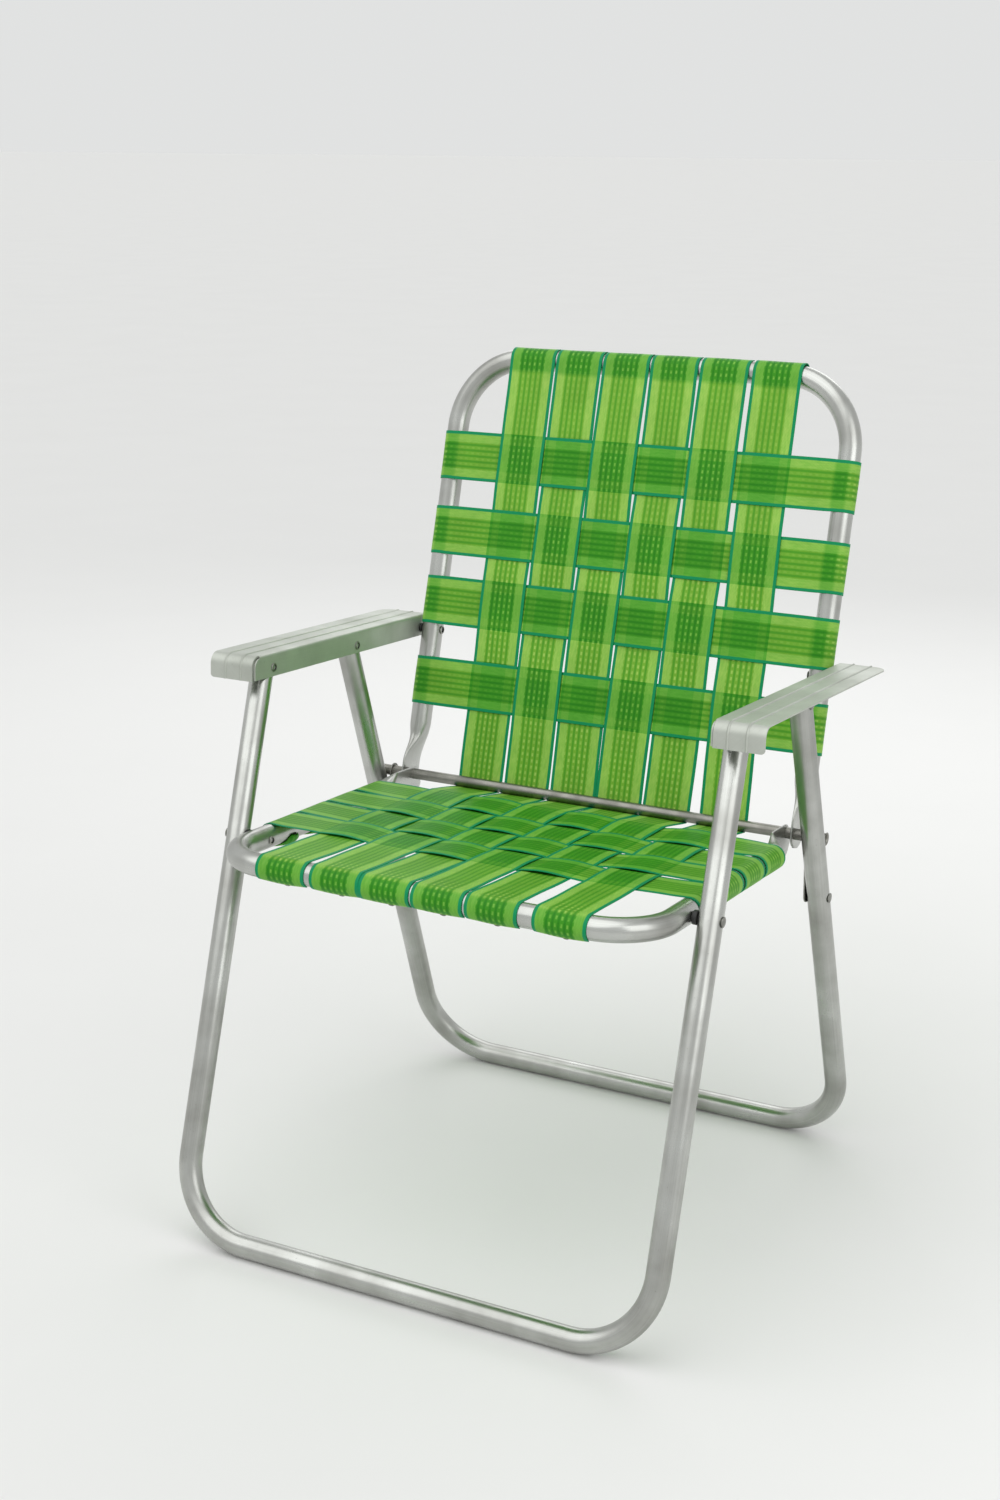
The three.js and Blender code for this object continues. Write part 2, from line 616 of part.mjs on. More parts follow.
function addTurnedPair(group, name, pivot, profile, material) {
  const at = local(group, pivot);
  sides.forEach(([sideName, side]) => {
    const piece = turned(profile.map(([radius, x]) => [radius, side * x]), RIVET_SIDES);
    piece.translate(0, at.y, at.z);
    addPiece(group, `${sideName}_${name}`, piece, material);
  });
}

const seatTubeInner = SEAT_HALF_WIDTH - TUBE_RADIUS;
const backTubeInner = BACK_HALF_WIDTH - TUBE_RADIUS;
const flangeRim = sheetRivet(FLANGE_INNER_X, FLANGE_OUTER_X, RIVET_RIM);
const linkRim = sheetRivet(LINK_INNER_X, LINK_OUTER_X, LINK_RIM);
const armSpacer = spacer(BACK_HALF_WIDTH + TUBE_RADIUS, ARM_SPACER, ARM_SPACER_RADIUS);
const seatSpacer = spacer(SEAT_HALF_WIDTH + TUBE_RADIUS, SEAT_SPACER, SEAT_SPACER_RADIUS);
addTurnedPair(frontLegs, 'arm_front_rivet', armFrontPivot, legRivet, rivetSteel);
addTurnedPair(arms, 'arm_front_rivet_rim', armFrontPivot, flangeRim, rivetSteel);
addTurnedPair(rearLegs, 'arm_leg_rivet', armLegPivot, throughRivet(FLANGE_INNER_X, LEG_OUTER_X), rivetSteel);
addTurnedPair(back, 'arm_back_rivet', armBackPivot, throughRivet(backTubeInner, FLANGE_OUTER_X), rivetSteel);
addTurnedPair(back, 'arm_back_spacer', armBackPivot, armSpacer, blackPlastic);
addTurnedPair(seat, 'seat_rivet', seatPivot, throughRivet(seatTubeInner, LEG_OUTER_X), rivetSteel);
addTurnedPair(seat, 'seat_spacer', seatPivot, seatSpacer, blackPlastic);
addTurnedPair(rearLegs, 'link_rivet', linkPivot, legRivet, rivetSteel);
addTurnedPair(links, 'link_rivet_rim', linkPivot, linkRim, rivetSteel);

// Webbing

// Sweeps a strap's flat section along stations of a path: each has a middle, a normal and the way across.
function strap(stations) {
  const rings = stations.map(({ middle, normal, across }) => {
    const out = normal.clone().multiplyScalar(STRAP_THICKNESS / 2);
    const half = across.clone().multiplyScalar(STRAP_WIDTH / 2);
    const corner = (face, edge) => middle.clone().addScaledVector(out, face).addScaledVector(half, edge);
    return [corner(1, -1), corner(1, 1), corner(-1, 1), corner(-1, -1)];
  });
  return stripLoft(rings);
}

// Path points in a plane: a is the distance along, w the height over the frame's middle plane.
const flatAt = (a, w) => ({ a, w, na: 0, nw: 1 });

// Points round a centre in that plane, with normals that face it when the strap lies inside the turn
function wrapRound(centre, radius, from, to, steps, inside) {
  return Array.from({ length: steps + 1 }, (_, step) => {
    const angle = lerp(from, to, step / steps);
    const [ca, cw] = [Math.cos(angle), Math.sin(angle)];
    const normal = inside ? -1 : 1;
    return { a: centre.a + radius * ca, w: centre.w + radius * cw, na: normal * ca, nw: normal * cw };
  });
}

const QUARTER = Math.PI / 2;
const wrapTube = (a, from, to) => wrapRound({ a, w: 0 }, WRAP_RADIUS, from, to, WRAP_STEPS, false);
const wrapStart = (a) => wrapTube(a, 3 * QUARTER + WRAP_PAST_TUBE, QUARTER);
const wrapEnd = (a) => wrapTube(a, QUARTER, -QUARTER - WRAP_PAST_TUBE);

// Heights of a strap over and under the straps that it crosses, stepping in the gaps between them
function weave(crossings, isOver, ramp) {
  const heights = crossings.map((_, k) => WEAVE_HEIGHT + (isOver(k) ? WEAVE_OFFSET : -WEAVE_OFFSET));
  const path = [flatAt(crossings[0] - STRAP_WIDTH / 2, heights[0])];
  for (let k = 0; k < crossings.length - 1; k++) {
    const middle = (crossings[k] + crossings[k + 1]) / 2;
    const gap = crossings[k + 1] - crossings[k] - STRAP_WIDTH;
    const half = Math.max(Math.min(gap / 2 - WEAVE_STEP, ramp), WEAVE_STEP / 2);
    path.push(flatAt(middle - half, heights[k]), flatAt(middle + half, heights[k + 1]));
  }
  path.push(flatAt(crossings.at(-1) + STRAP_WIDTH / 2, heights.at(-1)));
  return path;
}

const seatCross = Array.from({ length: SEAT_CROSS_STRAPS }, (_, j) => (
  FIRST_SEAT_STRAP + j * (STRAP_WIDTH + SEAT_CROSS_GAP)));
const thirdOnBack = local(back, armBackPivot).z - ARM_SPACER_RADIUS - STRAP_ABOVE_RIVET - STRAP_WIDTH / 2;
const [firstGap, secondGap, thirdGap] = BACK_CROSS_GAPS.map((gap) => gap + STRAP_WIDTH);
const backCross = [
  thirdOnBack - secondGap - firstGap, thirdOnBack - secondGap, thirdOnBack, thirdOnBack + thirdGap,
];
const evenly = (i) => (i - (LACED_AT_ROD.length - 1) / 2) * LONG_STRAP_PITCH;
const frontX = LACED_AT_FRONT.map((shift, i) => evenly(i) + shift);
const rodX = LACED_AT_ROD.map((shift, i) => evenly(i) + shift);
const topX = LACED_AT_TOP.map((shift, i) => evenly(i) + shift);

const rodOnSeat = local(seat, rod);
const rodOnBack = local(back, rod);
const seatRod = { a: -rodOnSeat.z, w: rodOnSeat.y };
const backRod = { a: rodOnBack.z, w: rodOnBack.y };
const seatStrapX = (i, a) => lerp(frontX[i], rodX[i], a / seatRod.a);
const backStrapX = (i, a) => lerp(topX[i], rodX[i], a / backRod.a);

// On the back the odd long straps pass over the odd cross straps; on the seat they pass under them.
const longOverOnBack = (i, j) => (i + j) % 2 === 0;
const longOverOnSeat = (i, j) => (i + j) % 2 === 1;

// Where a strap coming along +a from a point meets the rod and passes under it
function rodTangent(from, rodAt) {
  const [da, dw] = [rodAt.a - from.a, rodAt.w - from.w];
  return Math.atan2(dw, da) - Math.asin(ROD_WRAP_RADIUS / Math.hypot(da, dw)) - QUARTER;
}

function crossStrap(halfWidth, place, middles, isOver, toLocal, across) {
  const path = [...wrapStart(-halfWidth), ...weave(middles, isOver, WEAVE_STEP), ...wrapEnd(halfWidth)];
  return strap(path.map(({ a, w, na, nw }) => ({
    middle: new THREE.Vector3(a, w, toLocal * place),
    normal: new THREE.Vector3(na, nw, 0),
    across,
  })));
}

function longStrap(path, xAt, toLocal) {
  const across = new THREE.Vector3(1, 0, 0);
  return strap(path.map(({ a, w, na, nw }) => ({
    middle: new THREE.Vector3(xAt(a), w, toLocal * a),
    normal: new THREE.Vector3(0, nw, toLocal * na),
    across,
  })));
}

const alongFrame = new THREE.Vector3(0, 0, 1);
backCross.forEach((place, j) => {
  const middles = topX.map((_, i) => backStrapX(i, place));
  const piece = crossStrap(BACK_HALF_WIDTH, place, middles, (i) => !longOverOnBack(i, j), 1, alongFrame);
  addPiece(back, `back_cross_strap_${j + 1}`, piece, webbing);
});
seatCross.forEach((place, j) => {
  const middles = frontX.map((_, i) => seatStrapX(i, place));
  const piece = crossStrap(SEAT_HALF_WIDTH, place, middles, (i) => !longOverOnSeat(i, j), -1, alongFrame);
  addPiece(seat, `seat_cross_strap_${j + 1}`, piece, webbing);
});

// The long straps run from the top bar to the back of the rod, and from the front bar round under the rod.
const lastOnBack = backCross.at(-1) + STRAP_WIDTH / 2;
const lastOnSeat = seatCross.at(-1) + STRAP_WIDTH / 2;
const seatToBack = Math.PI / 2 - SEAT_TILT - (Math.PI - BACK_LEAN);
topX.forEach((_, i) => {
  const onBack = weave(backCross, (j) => longOverOnBack(i, j), WEAVE_RAMP);
  const backTangent = rodTangent({ a: lastOnBack, w: onBack.at(-1).w }, backRod);
  const backEnd = wrapRound(backRod, ROD_WRAP_RADIUS, backTangent, backTangent, 1, true)[0];
  const backPath = [...wrapStart(0), ...onBack, backEnd];
  addPiece(back, `back_long_strap_${i + 1}`, longStrap(backPath, (a) => backStrapX(i, a), 1), webbing);

  const onSeat = weave(seatCross, (j) => longOverOnSeat(i, j), WEAVE_STEP);
  const seatTangent = rodTangent({ a: lastOnSeat, w: onSeat.at(-1).w }, seatRod);
  const gapAngle = RUNNING_GAP / ROD_WRAP_RADIUS;
  const seatEnd = -Math.PI - seatToBack - backTangent - gapAngle;
  const roundRod = wrapRound(seatRod, ROD_WRAP_RADIUS, seatTangent, seatEnd, ROD_WRAP_STEPS, true);
  const seatPath = [...wrapStart(0), ...onSeat, ...roundRod];
  addPiece(seat, `seat_long_strap_${i + 1}`, longStrap(seatPath, (a) => seatStrapX(i, a), -1), webbing);
});

export default chair;
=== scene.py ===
"""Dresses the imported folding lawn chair: bent aluminium tubes, sheet arms, rivets and laced green webbing.

Every size is in metres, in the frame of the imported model. Pieces ride on its bodies, and each long strap
bends round the hinge rod between the seat and the back.
"""
import json
import math

import bmesh
import bpy
import numpy as np
from bpy.props import FloatProperty, FloatVectorProperty, PointerProperty
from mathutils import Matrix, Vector


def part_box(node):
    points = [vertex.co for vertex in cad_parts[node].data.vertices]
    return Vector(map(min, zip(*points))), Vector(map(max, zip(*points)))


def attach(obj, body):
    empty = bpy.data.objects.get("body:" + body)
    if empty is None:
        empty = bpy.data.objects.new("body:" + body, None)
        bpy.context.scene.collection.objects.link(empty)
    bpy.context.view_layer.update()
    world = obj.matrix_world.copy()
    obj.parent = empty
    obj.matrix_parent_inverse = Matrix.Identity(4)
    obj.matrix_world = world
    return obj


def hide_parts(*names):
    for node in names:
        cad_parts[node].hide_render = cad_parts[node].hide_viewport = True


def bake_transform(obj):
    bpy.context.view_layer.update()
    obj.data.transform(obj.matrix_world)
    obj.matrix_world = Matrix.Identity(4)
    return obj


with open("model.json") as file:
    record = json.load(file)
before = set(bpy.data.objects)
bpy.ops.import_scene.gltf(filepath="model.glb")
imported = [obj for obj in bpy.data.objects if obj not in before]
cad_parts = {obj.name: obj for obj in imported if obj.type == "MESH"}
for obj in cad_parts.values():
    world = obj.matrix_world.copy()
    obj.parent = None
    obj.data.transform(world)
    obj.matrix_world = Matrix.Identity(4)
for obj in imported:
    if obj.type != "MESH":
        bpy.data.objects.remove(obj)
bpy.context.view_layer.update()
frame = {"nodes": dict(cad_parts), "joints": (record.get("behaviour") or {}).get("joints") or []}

bl_info = {
    "name": "Folding lawn chair",
    "version": (1, 0, 0),
    "blender": (4, 5, 0),
    "location": "3D View > Sidebar > Chair",
    "description": "Builds the finished surfaces of a folding webbed lawn chair over its packed solids",
    "category": "Add Mesh",
}

SIDES = (("left", -1), ("right", 1))
CROSS_STRAPS = 4
LONG_STRAPS = 6
TURN = 2 * math.pi
QUARTER = math.pi / 2

# How finely the surfaces are cut
TUBE_SIDES = 44
TURNED_SIDES = 36
BEND_STEPS = 22
TAPER_STEPS = 14
TIP_SHARES = (0.0, 0.04, 0.12, 0.25, 0.42, 0.65, 1.0)
ROUND_STEPS = 8
PLATE_STEPS = 10
PLATE_COLUMNS = 4
BEAD_COLUMNS = 9
FLANGE_STEPS = 5
DOME_STEPS = 7
FLARE_STEPS = 6
LINK_STEPS = 16
WRAP_POINTS = 80
ROD_POINTS = 24
PATH_STEP = 0.0007
STRAP_STEP = 0.005
STRAP_TURN = math.radians(9)
STRAP_SHARES = (-0.78, -0.52, -0.26, 0.0, 0.26, 0.52, 0.78)
LEAST_RADIUS = 1e-5
LEAST_GAP = 1e-6

# Tubes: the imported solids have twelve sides, whose flats lie this share of the radius from the axis
SOLID_FLAT = math.cos(math.pi / 12)
LEG_END_FULL = 0.006
LEG_END_LENGTH = 0.009
LEG_END_RADIUS = 0.0105
LEG_END_DEPTH = 0.02
# Flattened ends: their rounded tip, flat length and taper, and how far the flat part is moved
TAB_THICKNESS = 0.003
TAB_WIDTH = 0.039
TAB_SIDE_FLATNESS = 0.3
TIP_BLUNTNESS = 0.12
TABS = {
    "seat": {
        "tip": 0.014, "length": 0.052, "thins": 0.02, "widens": 0.02, "inwards": 0.01, "raised": 0.002,
    },
    "back": {
        "tip": 0.016, "length": 0.03, "thins": 0.05, "widens": 0.036, "inwards": -0.0008, "raised": 0.0095,
    },
}

# Arms, measured from the front rivet
ARM_LIFT = 0.0162
ARM_FLANGE_DEPTH = 0.026
ARM_FRONT_REACH = 0.038
ARM_REAR_REACH = 0.01
ARM_FLAP_DEPTH = 0.027
ARM_BEND = 0.012
ARM_EDGE_BEND = 0.0022
ARM_SEAM = 0.0008
ARM_REAR_CORNER = 0.015
ARM_FLAP_CORNER = 0.004
FLANGE_CORNER = 0.006
BEAD_PLACES = (0.018, 0.038)
BEAD_HALF_WIDTH = 0.0012
BEAD_HEIGHT = 0.0012
SHEET_EDGE = 0.00035
BEVEL_FROM = math.radians(40)

# Rod, links and rivets
ROD_WALL = 0.00125
ROD_FLARE = 0.001
ROD_FLARE_LENGTH = 0.002
ROD_LIP = 0.0004
ROD_LIP_DEPTH = 0.0002
ROD_DEPTH = 0.02
LINK_RADIUS = 0.0092
LINK_OUTLINE = 0.2
RIVET_RADIUS = 0.0032
RIVET_BORE = 0.0028
RIVET_BORE_DEPTH = 0.005
RIVET_RIM = 0.0014
RIVET_RIM_RADIUS = 0.0049
RIVET_HEAD_RADIUS = 0.0056
RIVET_HEAD = 0.0016
RUNNING_GAP = 0.0003
SPACER_EDGE = 0.0005
# Shares of a head's radius under it and of its height at its edge, and of a rim's height at and over its edge
HEAD_UNDERSIDE = 0.97
HEAD_EDGE = 0.25
ROLL_EDGE = 0.2
ROLL_RISE = 0.5
# Rings inside a hollow rivet end, which are painted dark as shade
SHADED_HOLLOW_RINGS = 5

# Webbing
STRAP_CLEARANCE = 0.0002
ROD_CLEARANCE = 0.0003
WEAVE_OFFSET = 0.0006
OVER_PARITY = {"seat": 0, "back": 1}
CROSS_ARCH = {"seat": 0.0023, "back": 0.0004}
LONG_ARCH = {"seat": 0.0009, "back": 0.0004}
SAG = {"seat": 0.0045, "back": 0.0}
LOWEST_BACK_STRAP_TILT = 0.00175
FIRST_STRAP_SHIFT = 0.0015
# A long strap's solid is at its bar beyond one distance from the rod, and at the rod within another
BAR_BEYOND = 0.35
ROD_WITHIN = 0.02
# Slight waves: their height, and how quickly they run along and across a strap
WAVE_HEIGHT = 0.0002
WAVES = {"cross_webbing": (90, 60), "long_webbing": (80, 70)}
SWAY = 0.0005
SWAY_WAVES = 23
# The ends wrap the tubes and are folded to a point, from one angle round the tube to another
FOLD_ANGLE = math.radians(-70)
WRAP_END_ANGLE = math.radians(-172)
TIP_HALF_WIDTH = 0.006
END_BULGE = 0.003
END_FADE = (0.35, 0.95)
GATHERED = {"seat": 0.06, "back": 0.015}
GATHERING = (-0.02, 0.02)
SELVAGE = 0.0006

# Painted shade on the webbing, where less light comes through it: by a crossing strap's edge lines, light
# bands and middle, and by the tubes
STRIPE_SHADES = (1.0, 0.8, 1.0)
CRISP = 0.00015
# The least painted shade on the cross straps and on the long straps; the seat's get more, as less light comes
# through them from below
CROSS_LEAST_SHADE = {"seat": 0.5, "back": 0.26}
LONG_LEAST_SHADE = {"seat": 0.32, "back": 0.0}
# Painted shade where a tube lies behind a strap: how much the side tubes give, and where it fades at the bars
# Each fade is given by its start and its length, outwards from a side tube's axis or along from a bar's
SIDE_TUBE_SHADE = {"seat": 0.4, "back": 1.0}
SIDE_TUBE_RISE = (-0.0145, 0.007)
SIDE_TUBE_FALL = (0.003, 0.006)
SIDE_TUBE_LEFT = 0.2
BAR_SHADE_FADE = {"seat": (-0.009, 0.007), "back": (0.0145, 0.003)}
# How clearly the floating threads show, from one share to another over a fade
CROSS_DOTS = (0.25, 0.75)
CROSS_DOTS_FADE = (-0.002, 0.006)
SEAT_DOTS = (1.0, 0.12)
SEAT_DOTS_FADE = (0.006, 0.03)
BACK_DOTS = (0.35, 0.9)
BACK_DOTS_FADE = (0.1, 0.2)
BACK_BAR_DOTS_FADE = (0.012, 0.006)

# The webbing's pattern
EDGE_LINE = 0.0036
LIGHT_BAND = 0.0095
LINE_PITCH = 0.0066
DOT_PITCH = 0.0074
WANDER_SCALE = 160.0
STRIPE_WANDER = 0.0007
LINE_WANDER = 0.0006
BAND_BLUR = 0.0004
EDGE_BLUR = 0.0003
# Soft edges of the lines, the rows of threads and the threads, as shares of their pitch
LINE_SIDE = (0.12, 0.28)
ROW_SIDE = (0.27, 0.41)
THREAD_SIDE = (0.17, 0.33)
TWILL_ACROSS = 1100.0
TWILL_ALONG = 640.0
RIBS = 1500.0
# Noise: its scale, the range that is read from it and what that range becomes
WORN_SCALE = 130.0
WORN = (0.36, 0.6, 0.4, 1.0)
STREAK_SCALE = (420.0, 90.0, 1.0)
STREAKS = (0.36, 0.68, 0.0, 0.6)
AGED_SCALE = 24.0
AGED = (0.3, 0.7, 0.92, 1.06)
WOVEN_SHADE = (0.88, 1.06)
WEBBING_ROUGHNESS = (0.42, 0.56)
WEBBING_SPECULAR = 0.18
DOT_RELIEF = 0.8
WEBBING_BUMP = 0.4
# How much of the painted shade the light bands and the threads are spared, over another layer and over a tube
BANDS_SPARED = {"long_webbing": 0.34, "cross_webbing": 0.1}
BANDS_SPARED_ON_TUBE = 0.3
DOTS_SPARED = 0.33

# Metals: the finish's name, its colours, its roughness, the scale of its patches and its metal share
METALS = {
    "tube": ("worn_tube", "tube", "tube_dull", (0.24, 0.38), 16.0, 1.0),
    "arm_sheet": ("satin_arm_sheet", "arm", "arm_dull", (0.42, 0.54), 20.0, 0.6),
    "rod": ("dull_rod", "rod", "rod_dull", (0.3, 0.5), 40.0, 1.0),
    "rivet": ("rivet_metal", "rivet", "rivet_dull", (0.28, 0.5), 120.0, 1.0),
}
DRAWN_SCALE = (1400.0, 5.0, 1.0)
DRAWN = (0.3, 0.75, 0.0, 0.35)
PATCHES = (0.35, 0.7, 0.0, 0.7)
PIT_SCALE = 420.0
PITS = (0.71, 0.76, 0.0, 0.4)
PIT_SHADE = 0.5
# Painted shade inside the bores of hollow rivet ends
HOLLOW_PAINTED_SHADE = (0.006, 0.006, 0.006)
METAL_BUMP = 0.06
GRAIN_SCALE = 900.0
GRAIN_ROUGHNESS = (0.3, 0.7, 0.42, 0.62)
GRAIN_SHADE = 1.9
GRAIN_BUMP = 0.2
BUMP_DEPTH = 0.0002

# Screws that hold the folded ends
WASHER_RADIUS = 0.0046
WASHER = 0.0007
SCREW_RADIUS = 0.0031
SCREW_HEAD = 0.0024
SCREW_ANGLE = math.radians(-112)
HEXAGON_SIDE = math.pi / 3
SCREW_MAP_STEP = (0.001, 0.002)

# Stage: how strongly the room lights the chair, and how bright its background looks
ROOM_LIGHT = 0.6
ROOM_SEEN = 0.785
ROOM_TINT = (0.96, 0.97, 0.965, 1.0)
FLOOR_LINES = (-60.0, -3.0, 3.0, 60.0)
FLOOR_SCALE = 3.0
FLOOR_ROUGHNESS = (0.3, 0.7, 0.7, 0.8)
FLOOR_SHADE = 0.97
# Lights: their kind, their place, the point they look at, their strength and their own settings
LIGHTS = {
    "key_light": ("SUN", (-0.3, -0.45, 1.0), (0.0, 0.0, 0.0), 1.15, {"angle": math.radians(75)}),
    "side_light": (
        "AREA", (2.2, -0.9, 1.7), (0.0, 0.0, 0.5), 14.0, {"shape": "RECTANGLE", "size": 1.8, "size_y": 2.0},
    ),
    "rear_light": (
        "AREA", (-0.6, 2.4, 1.9), (0.0, 0.0, 0.6), 13.0, {"shape": "RECTANGLE", "size": 2.4, "size_y": 1.4},
    ),
}

# Camera, worked out for a picture of 1000 by 1500
PICTURE_HEIGHT = 1500
FOCAL_PIXELS = 2154.36
SENSOR = 36.0
CAMERA_PLACE = (1.02724, -2.00857, 1.18272)
CAMERA_TURN = (math.radians(73.619), 0.0, math.radians(28.063))


def scaled(colour, share):
    return tuple(share * part for part in colour)


def shown(red, green, blue):
    """A colour given as it is shown on a screen, from 0 to 255, as linear light."""
    return tuple(
        part / 12.92 / 255 if part <= 10 else ((part / 255 + 0.055) / 1.055) ** 2.4
        for part in (red, green, blue)
    )


def length_property(name, description, default):
    return FloatProperty(
        name=name, description=description, default=default, min=0.0, unit="LENGTH", precision=4
    )


def colour_property(name, description, default):
    return FloatVectorProperty(
        name=name, description=description, default=default, subtype="COLOR", size=3, min=0.0, max=1.0
    )


class ChairSizes(bpy.types.PropertyGroup):
    """Sizes of the stock that the chair is made of."""

    tube: length_property("Tube diameter", "Outside diameter of the frame tubes", 0.0254)
    wall: length_property("Tube wall", "Wall of the frame tubes", 0.0013)
    leg_bend: length_property("Leg bend", "Radius of the leg frames' bends at the tube's axis", 0.084)
    seat_bend: length_property("Seat bend", "Radius of the seat frame's bends at the tube's axis", 0.062)
    back_bend: length_property("Back bend", "Radius of the back frame's bends at the tube's axis", 0.085)
    rod: length_property("Rod diameter", "Outside diameter of the hinge rod", 0.0127)
    sheet: length_property("Arm sheet", "Thickness of the arms' and links' sheet metal", 0.0016)
    strap_width: length_property("Webbing width", "Width of the webbing", 0.0585)
    strap_thickness: length_property("Webbing thickness", "Thickness of the webbing", 0.0009)


class ChairColours(bpy.types.PropertyGroup):
    """Colours of the chair's finishes and of the stage."""

    tube: colour_property("Tube", "Bright part of the aluminium tubes", shown(197, 199, 195))
    tube_dull: colour_property("Dull tube", "Weathered part of the aluminium tubes", shown(152, 152, 147))
    arm: colour_property("Arm", "Satin sheet of the arms", shown(194, 198, 190))
    arm_dull: colour_property("Dull arm", "Dulled patches of the arms", shown(172, 176, 167))
    rod: colour_property("Rod", "Hinge rod", shown(150, 149, 142))
    rod_dull: colour_property("Dull rod", "Dulled patches of the rod", scaled(shown(150, 149, 142), 0.6))
    rivet: colour_property("Rivet", "Rivets, links and screws", shown(164, 164, 158))
    rivet_dull: colour_property("Dull rivet", "Dulled patches of rivets", scaled(shown(164, 164, 158), 0.55))
    plastic: colour_property("Spacer", "Black plastic of the spacers", shown(26, 27, 26))
    strap_middle: colour_property("Webbing middle", "Lighter stripes of the middle", shown(122, 180, 55))
    strap_line: colour_property("Webbing lines", "Darker lines in the middle", shown(88, 161, 40))
    strap_dot: colour_property("Webbing dots", "Light threads that float in the middle", shown(174, 213, 100))
    strap_band: colour_property("Webbing bands", "Light bands inside the edges", shown(142, 197, 80))
    strap_edge: colour_property("Webbing edges", "Edge lines of the webbing", shown(7, 141, 88))
    # Painted shade: the colour that the webbing is darkened towards where less light comes through it
    strap_through: colour_property("Two layers", "What a second layer leaves of it", (0.24, 0.64, 0.28))
    floor: colour_property("Floor", "Floor of the stage", (0.85, 0.85, 0.84))


def sizes():
    return bpy.context.scene.lawn_chair_sizes


def colours():
    return bpy.context.scene.lawn_chair_colours


# Shares and distances


def shares(steps, first=0):
    """Even shares up to 1, from a first step on."""
    return [step / steps for step in range(first, steps + 1)]


def arc(turn, steps, start=0.0):
    """Cosines and sines of even steps over a turn."""
    angles = [start + turn * share for share in shares(steps)]
    return [(math.cos(angle), math.sin(angle)) for angle in angles]


def ramp(value, start, length):
    """A soft rise from 0 to 1 over a length."""
    share = min(max((value - start) / length, 0.0), 1.0)
    return share * share * (3 - 2 * share)


def mix(first, second, share):
    return first + (second - first) * share


def travelled(points):
    """Distances along a line of points, from its start."""
    steps = np.linalg.norm(np.diff(np.array(points), axis=0), axis=1)
    return np.concatenate(([0.0], np.cumsum(steps)))


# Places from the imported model


def side_point(node):
    """The middle of a node, in the plane of symmetry."""
    low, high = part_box(node)
    return Vector((0.0, (low[1] + high[1]) / 2, (low[2] + high[2]) / 2))


def side_reach(node):
    """How far from the plane of symmetry a node begins and ends."""
    low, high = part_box(node)
    return sorted((abs(low[0]), abs(high[0])))


JOINTS = {joint["name"]: Vector(joint["pos_m"]) for joint in frame["joints"]}
ROD = JOINTS["back_fold"]
SEAT_PIVOT = JOINTS["front_leg_fold"]
ARM_BACK = JOINTS["arm_fold"]
ARM_LEG = JOINTS["rear_leg_fold"]
ARM_FRONT = side_point("left_arm_front_rivet")
LINK_LEG = side_point("left_link_rivet")


class Plane:
    """The middle plane of a frame: distances along it and heights over it, on the side given."""

    def __init__(self, origin, towards, side):
        self.origin = origin
        self.along = (towards - origin).normalized()
        self.up = Vector((0.0, -self.along.z, self.along.y)) * side

    def at(self, x, along, up):
        return self.origin + self.along * along + self.up * up + Vector((x, 0.0, 0.0))

    def measure(self, point):
        """How far along and how high over the plane a point lies."""
        offset = point - self.origin
        return offset.dot(self.along), offset.dot(self.up)


def webbed_planes():
    """The planes of the seat and of the back, from the axes of their bars."""
    radius = sizes().tube / 2
    low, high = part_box("seat_frame")
    seat = Plane(Vector((0.0, low[1] + radius, high[2] - radius)), SEAT_PIVOT, 1)
    low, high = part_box("back_frame")
    back = Plane(Vector((0.0, high[1] - radius, high[2] - radius)), ARM_BACK, -1)
    return {"seat": seat, "back": back}


def half_width(node):
    """Half the distance between the axes of a seat's or back's side tubes."""
    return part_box(node)[1][0] - SOLID_FLAT * sizes().tube / 2


# Meshes


def new_mesh(name, points, faces, corners, smooth=True):
    """A mesh with a map of distances over its surface, given for every corner of its faces."""
    mesh = bpy.data.meshes.new(name)
    mesh.from_pydata([tuple(point) for point in points], [], faces)
    mesh.uv_layers.new(name="Surface").data.foreach_set("uv", corners)
    mesh.polygons.foreach_set("use_smooth", [smooth] * len(faces))
    mesh.update()
    return mesh


def link_object(name, mesh, material):
    piece = bpy.data.objects.new(name, mesh)
    bpy.context.scene.collection.objects.link(piece)
    mesh.materials.append(material)
    return piece


def outward(mesh, caps=()):
    """Closes a mesh with caps, given by their points' numbers, and turns its faces outwards."""
    work = bmesh.new()
    work.from_mesh(mesh)
    work.verts.ensure_lookup_table()
    for cap in caps:
        work.faces.new([work.verts[number] for number in cap]).smooth = True
    bmesh.ops.recalc_face_normals(work, faces=work.faces)
    work.to_mesh(mesh)
    work.free()
    mesh.update()


def rows_mesh(name, rows, across, along, widths=None):
    """A mesh over rows of points, mapped by distances across and along; widths narrow the map of its rows."""
    columns = len(rows[0])
    widths = widths or [1.0] * len(rows)
    faces, corners = [], []
    for row in range(len(rows) - 1):
        first, second = row * columns, (row + 1) * columns
        for column, (left, right) in enumerate(zip(across, across[1:])):
            follow = (column + 1) % columns
            faces.append((first + column, first + follow, second + follow, second + column))
            corners += [left * widths[row], along[row], right * widths[row], along[row]]
            corners += [right * widths[row + 1], along[row + 1], left * widths[row + 1], along[row + 1]]
    return new_mesh(name, [point for row in rows for point in row], faces, corners)


def rings_mesh(name, rings, around, along):
    """A closed mesh over rings of points, with a cap at both ends."""
    mesh = rows_mesh(name, rings, around, along)
    columns = len(rings[0])
    last = (len(rings) - 1) * columns
    outward(mesh, (range(columns), range(last, last + columns)))
    return mesh


def add_bevel(piece, width):
    bevel = piece.modifiers.new("Edges", "BEVEL")
    bevel.width = width
    bevel.segments = 2
    bevel.limit_method = "ANGLE"
    bevel.angle_limit = BEVEL_FROM
    bevel.harden_normals = True


def add_thickness(piece, thickness):
    solid = piece.modifiers.new("Thickness", "SOLIDIFY")
    solid.thickness = thickness
    solid.offset = 0.0


# Materials


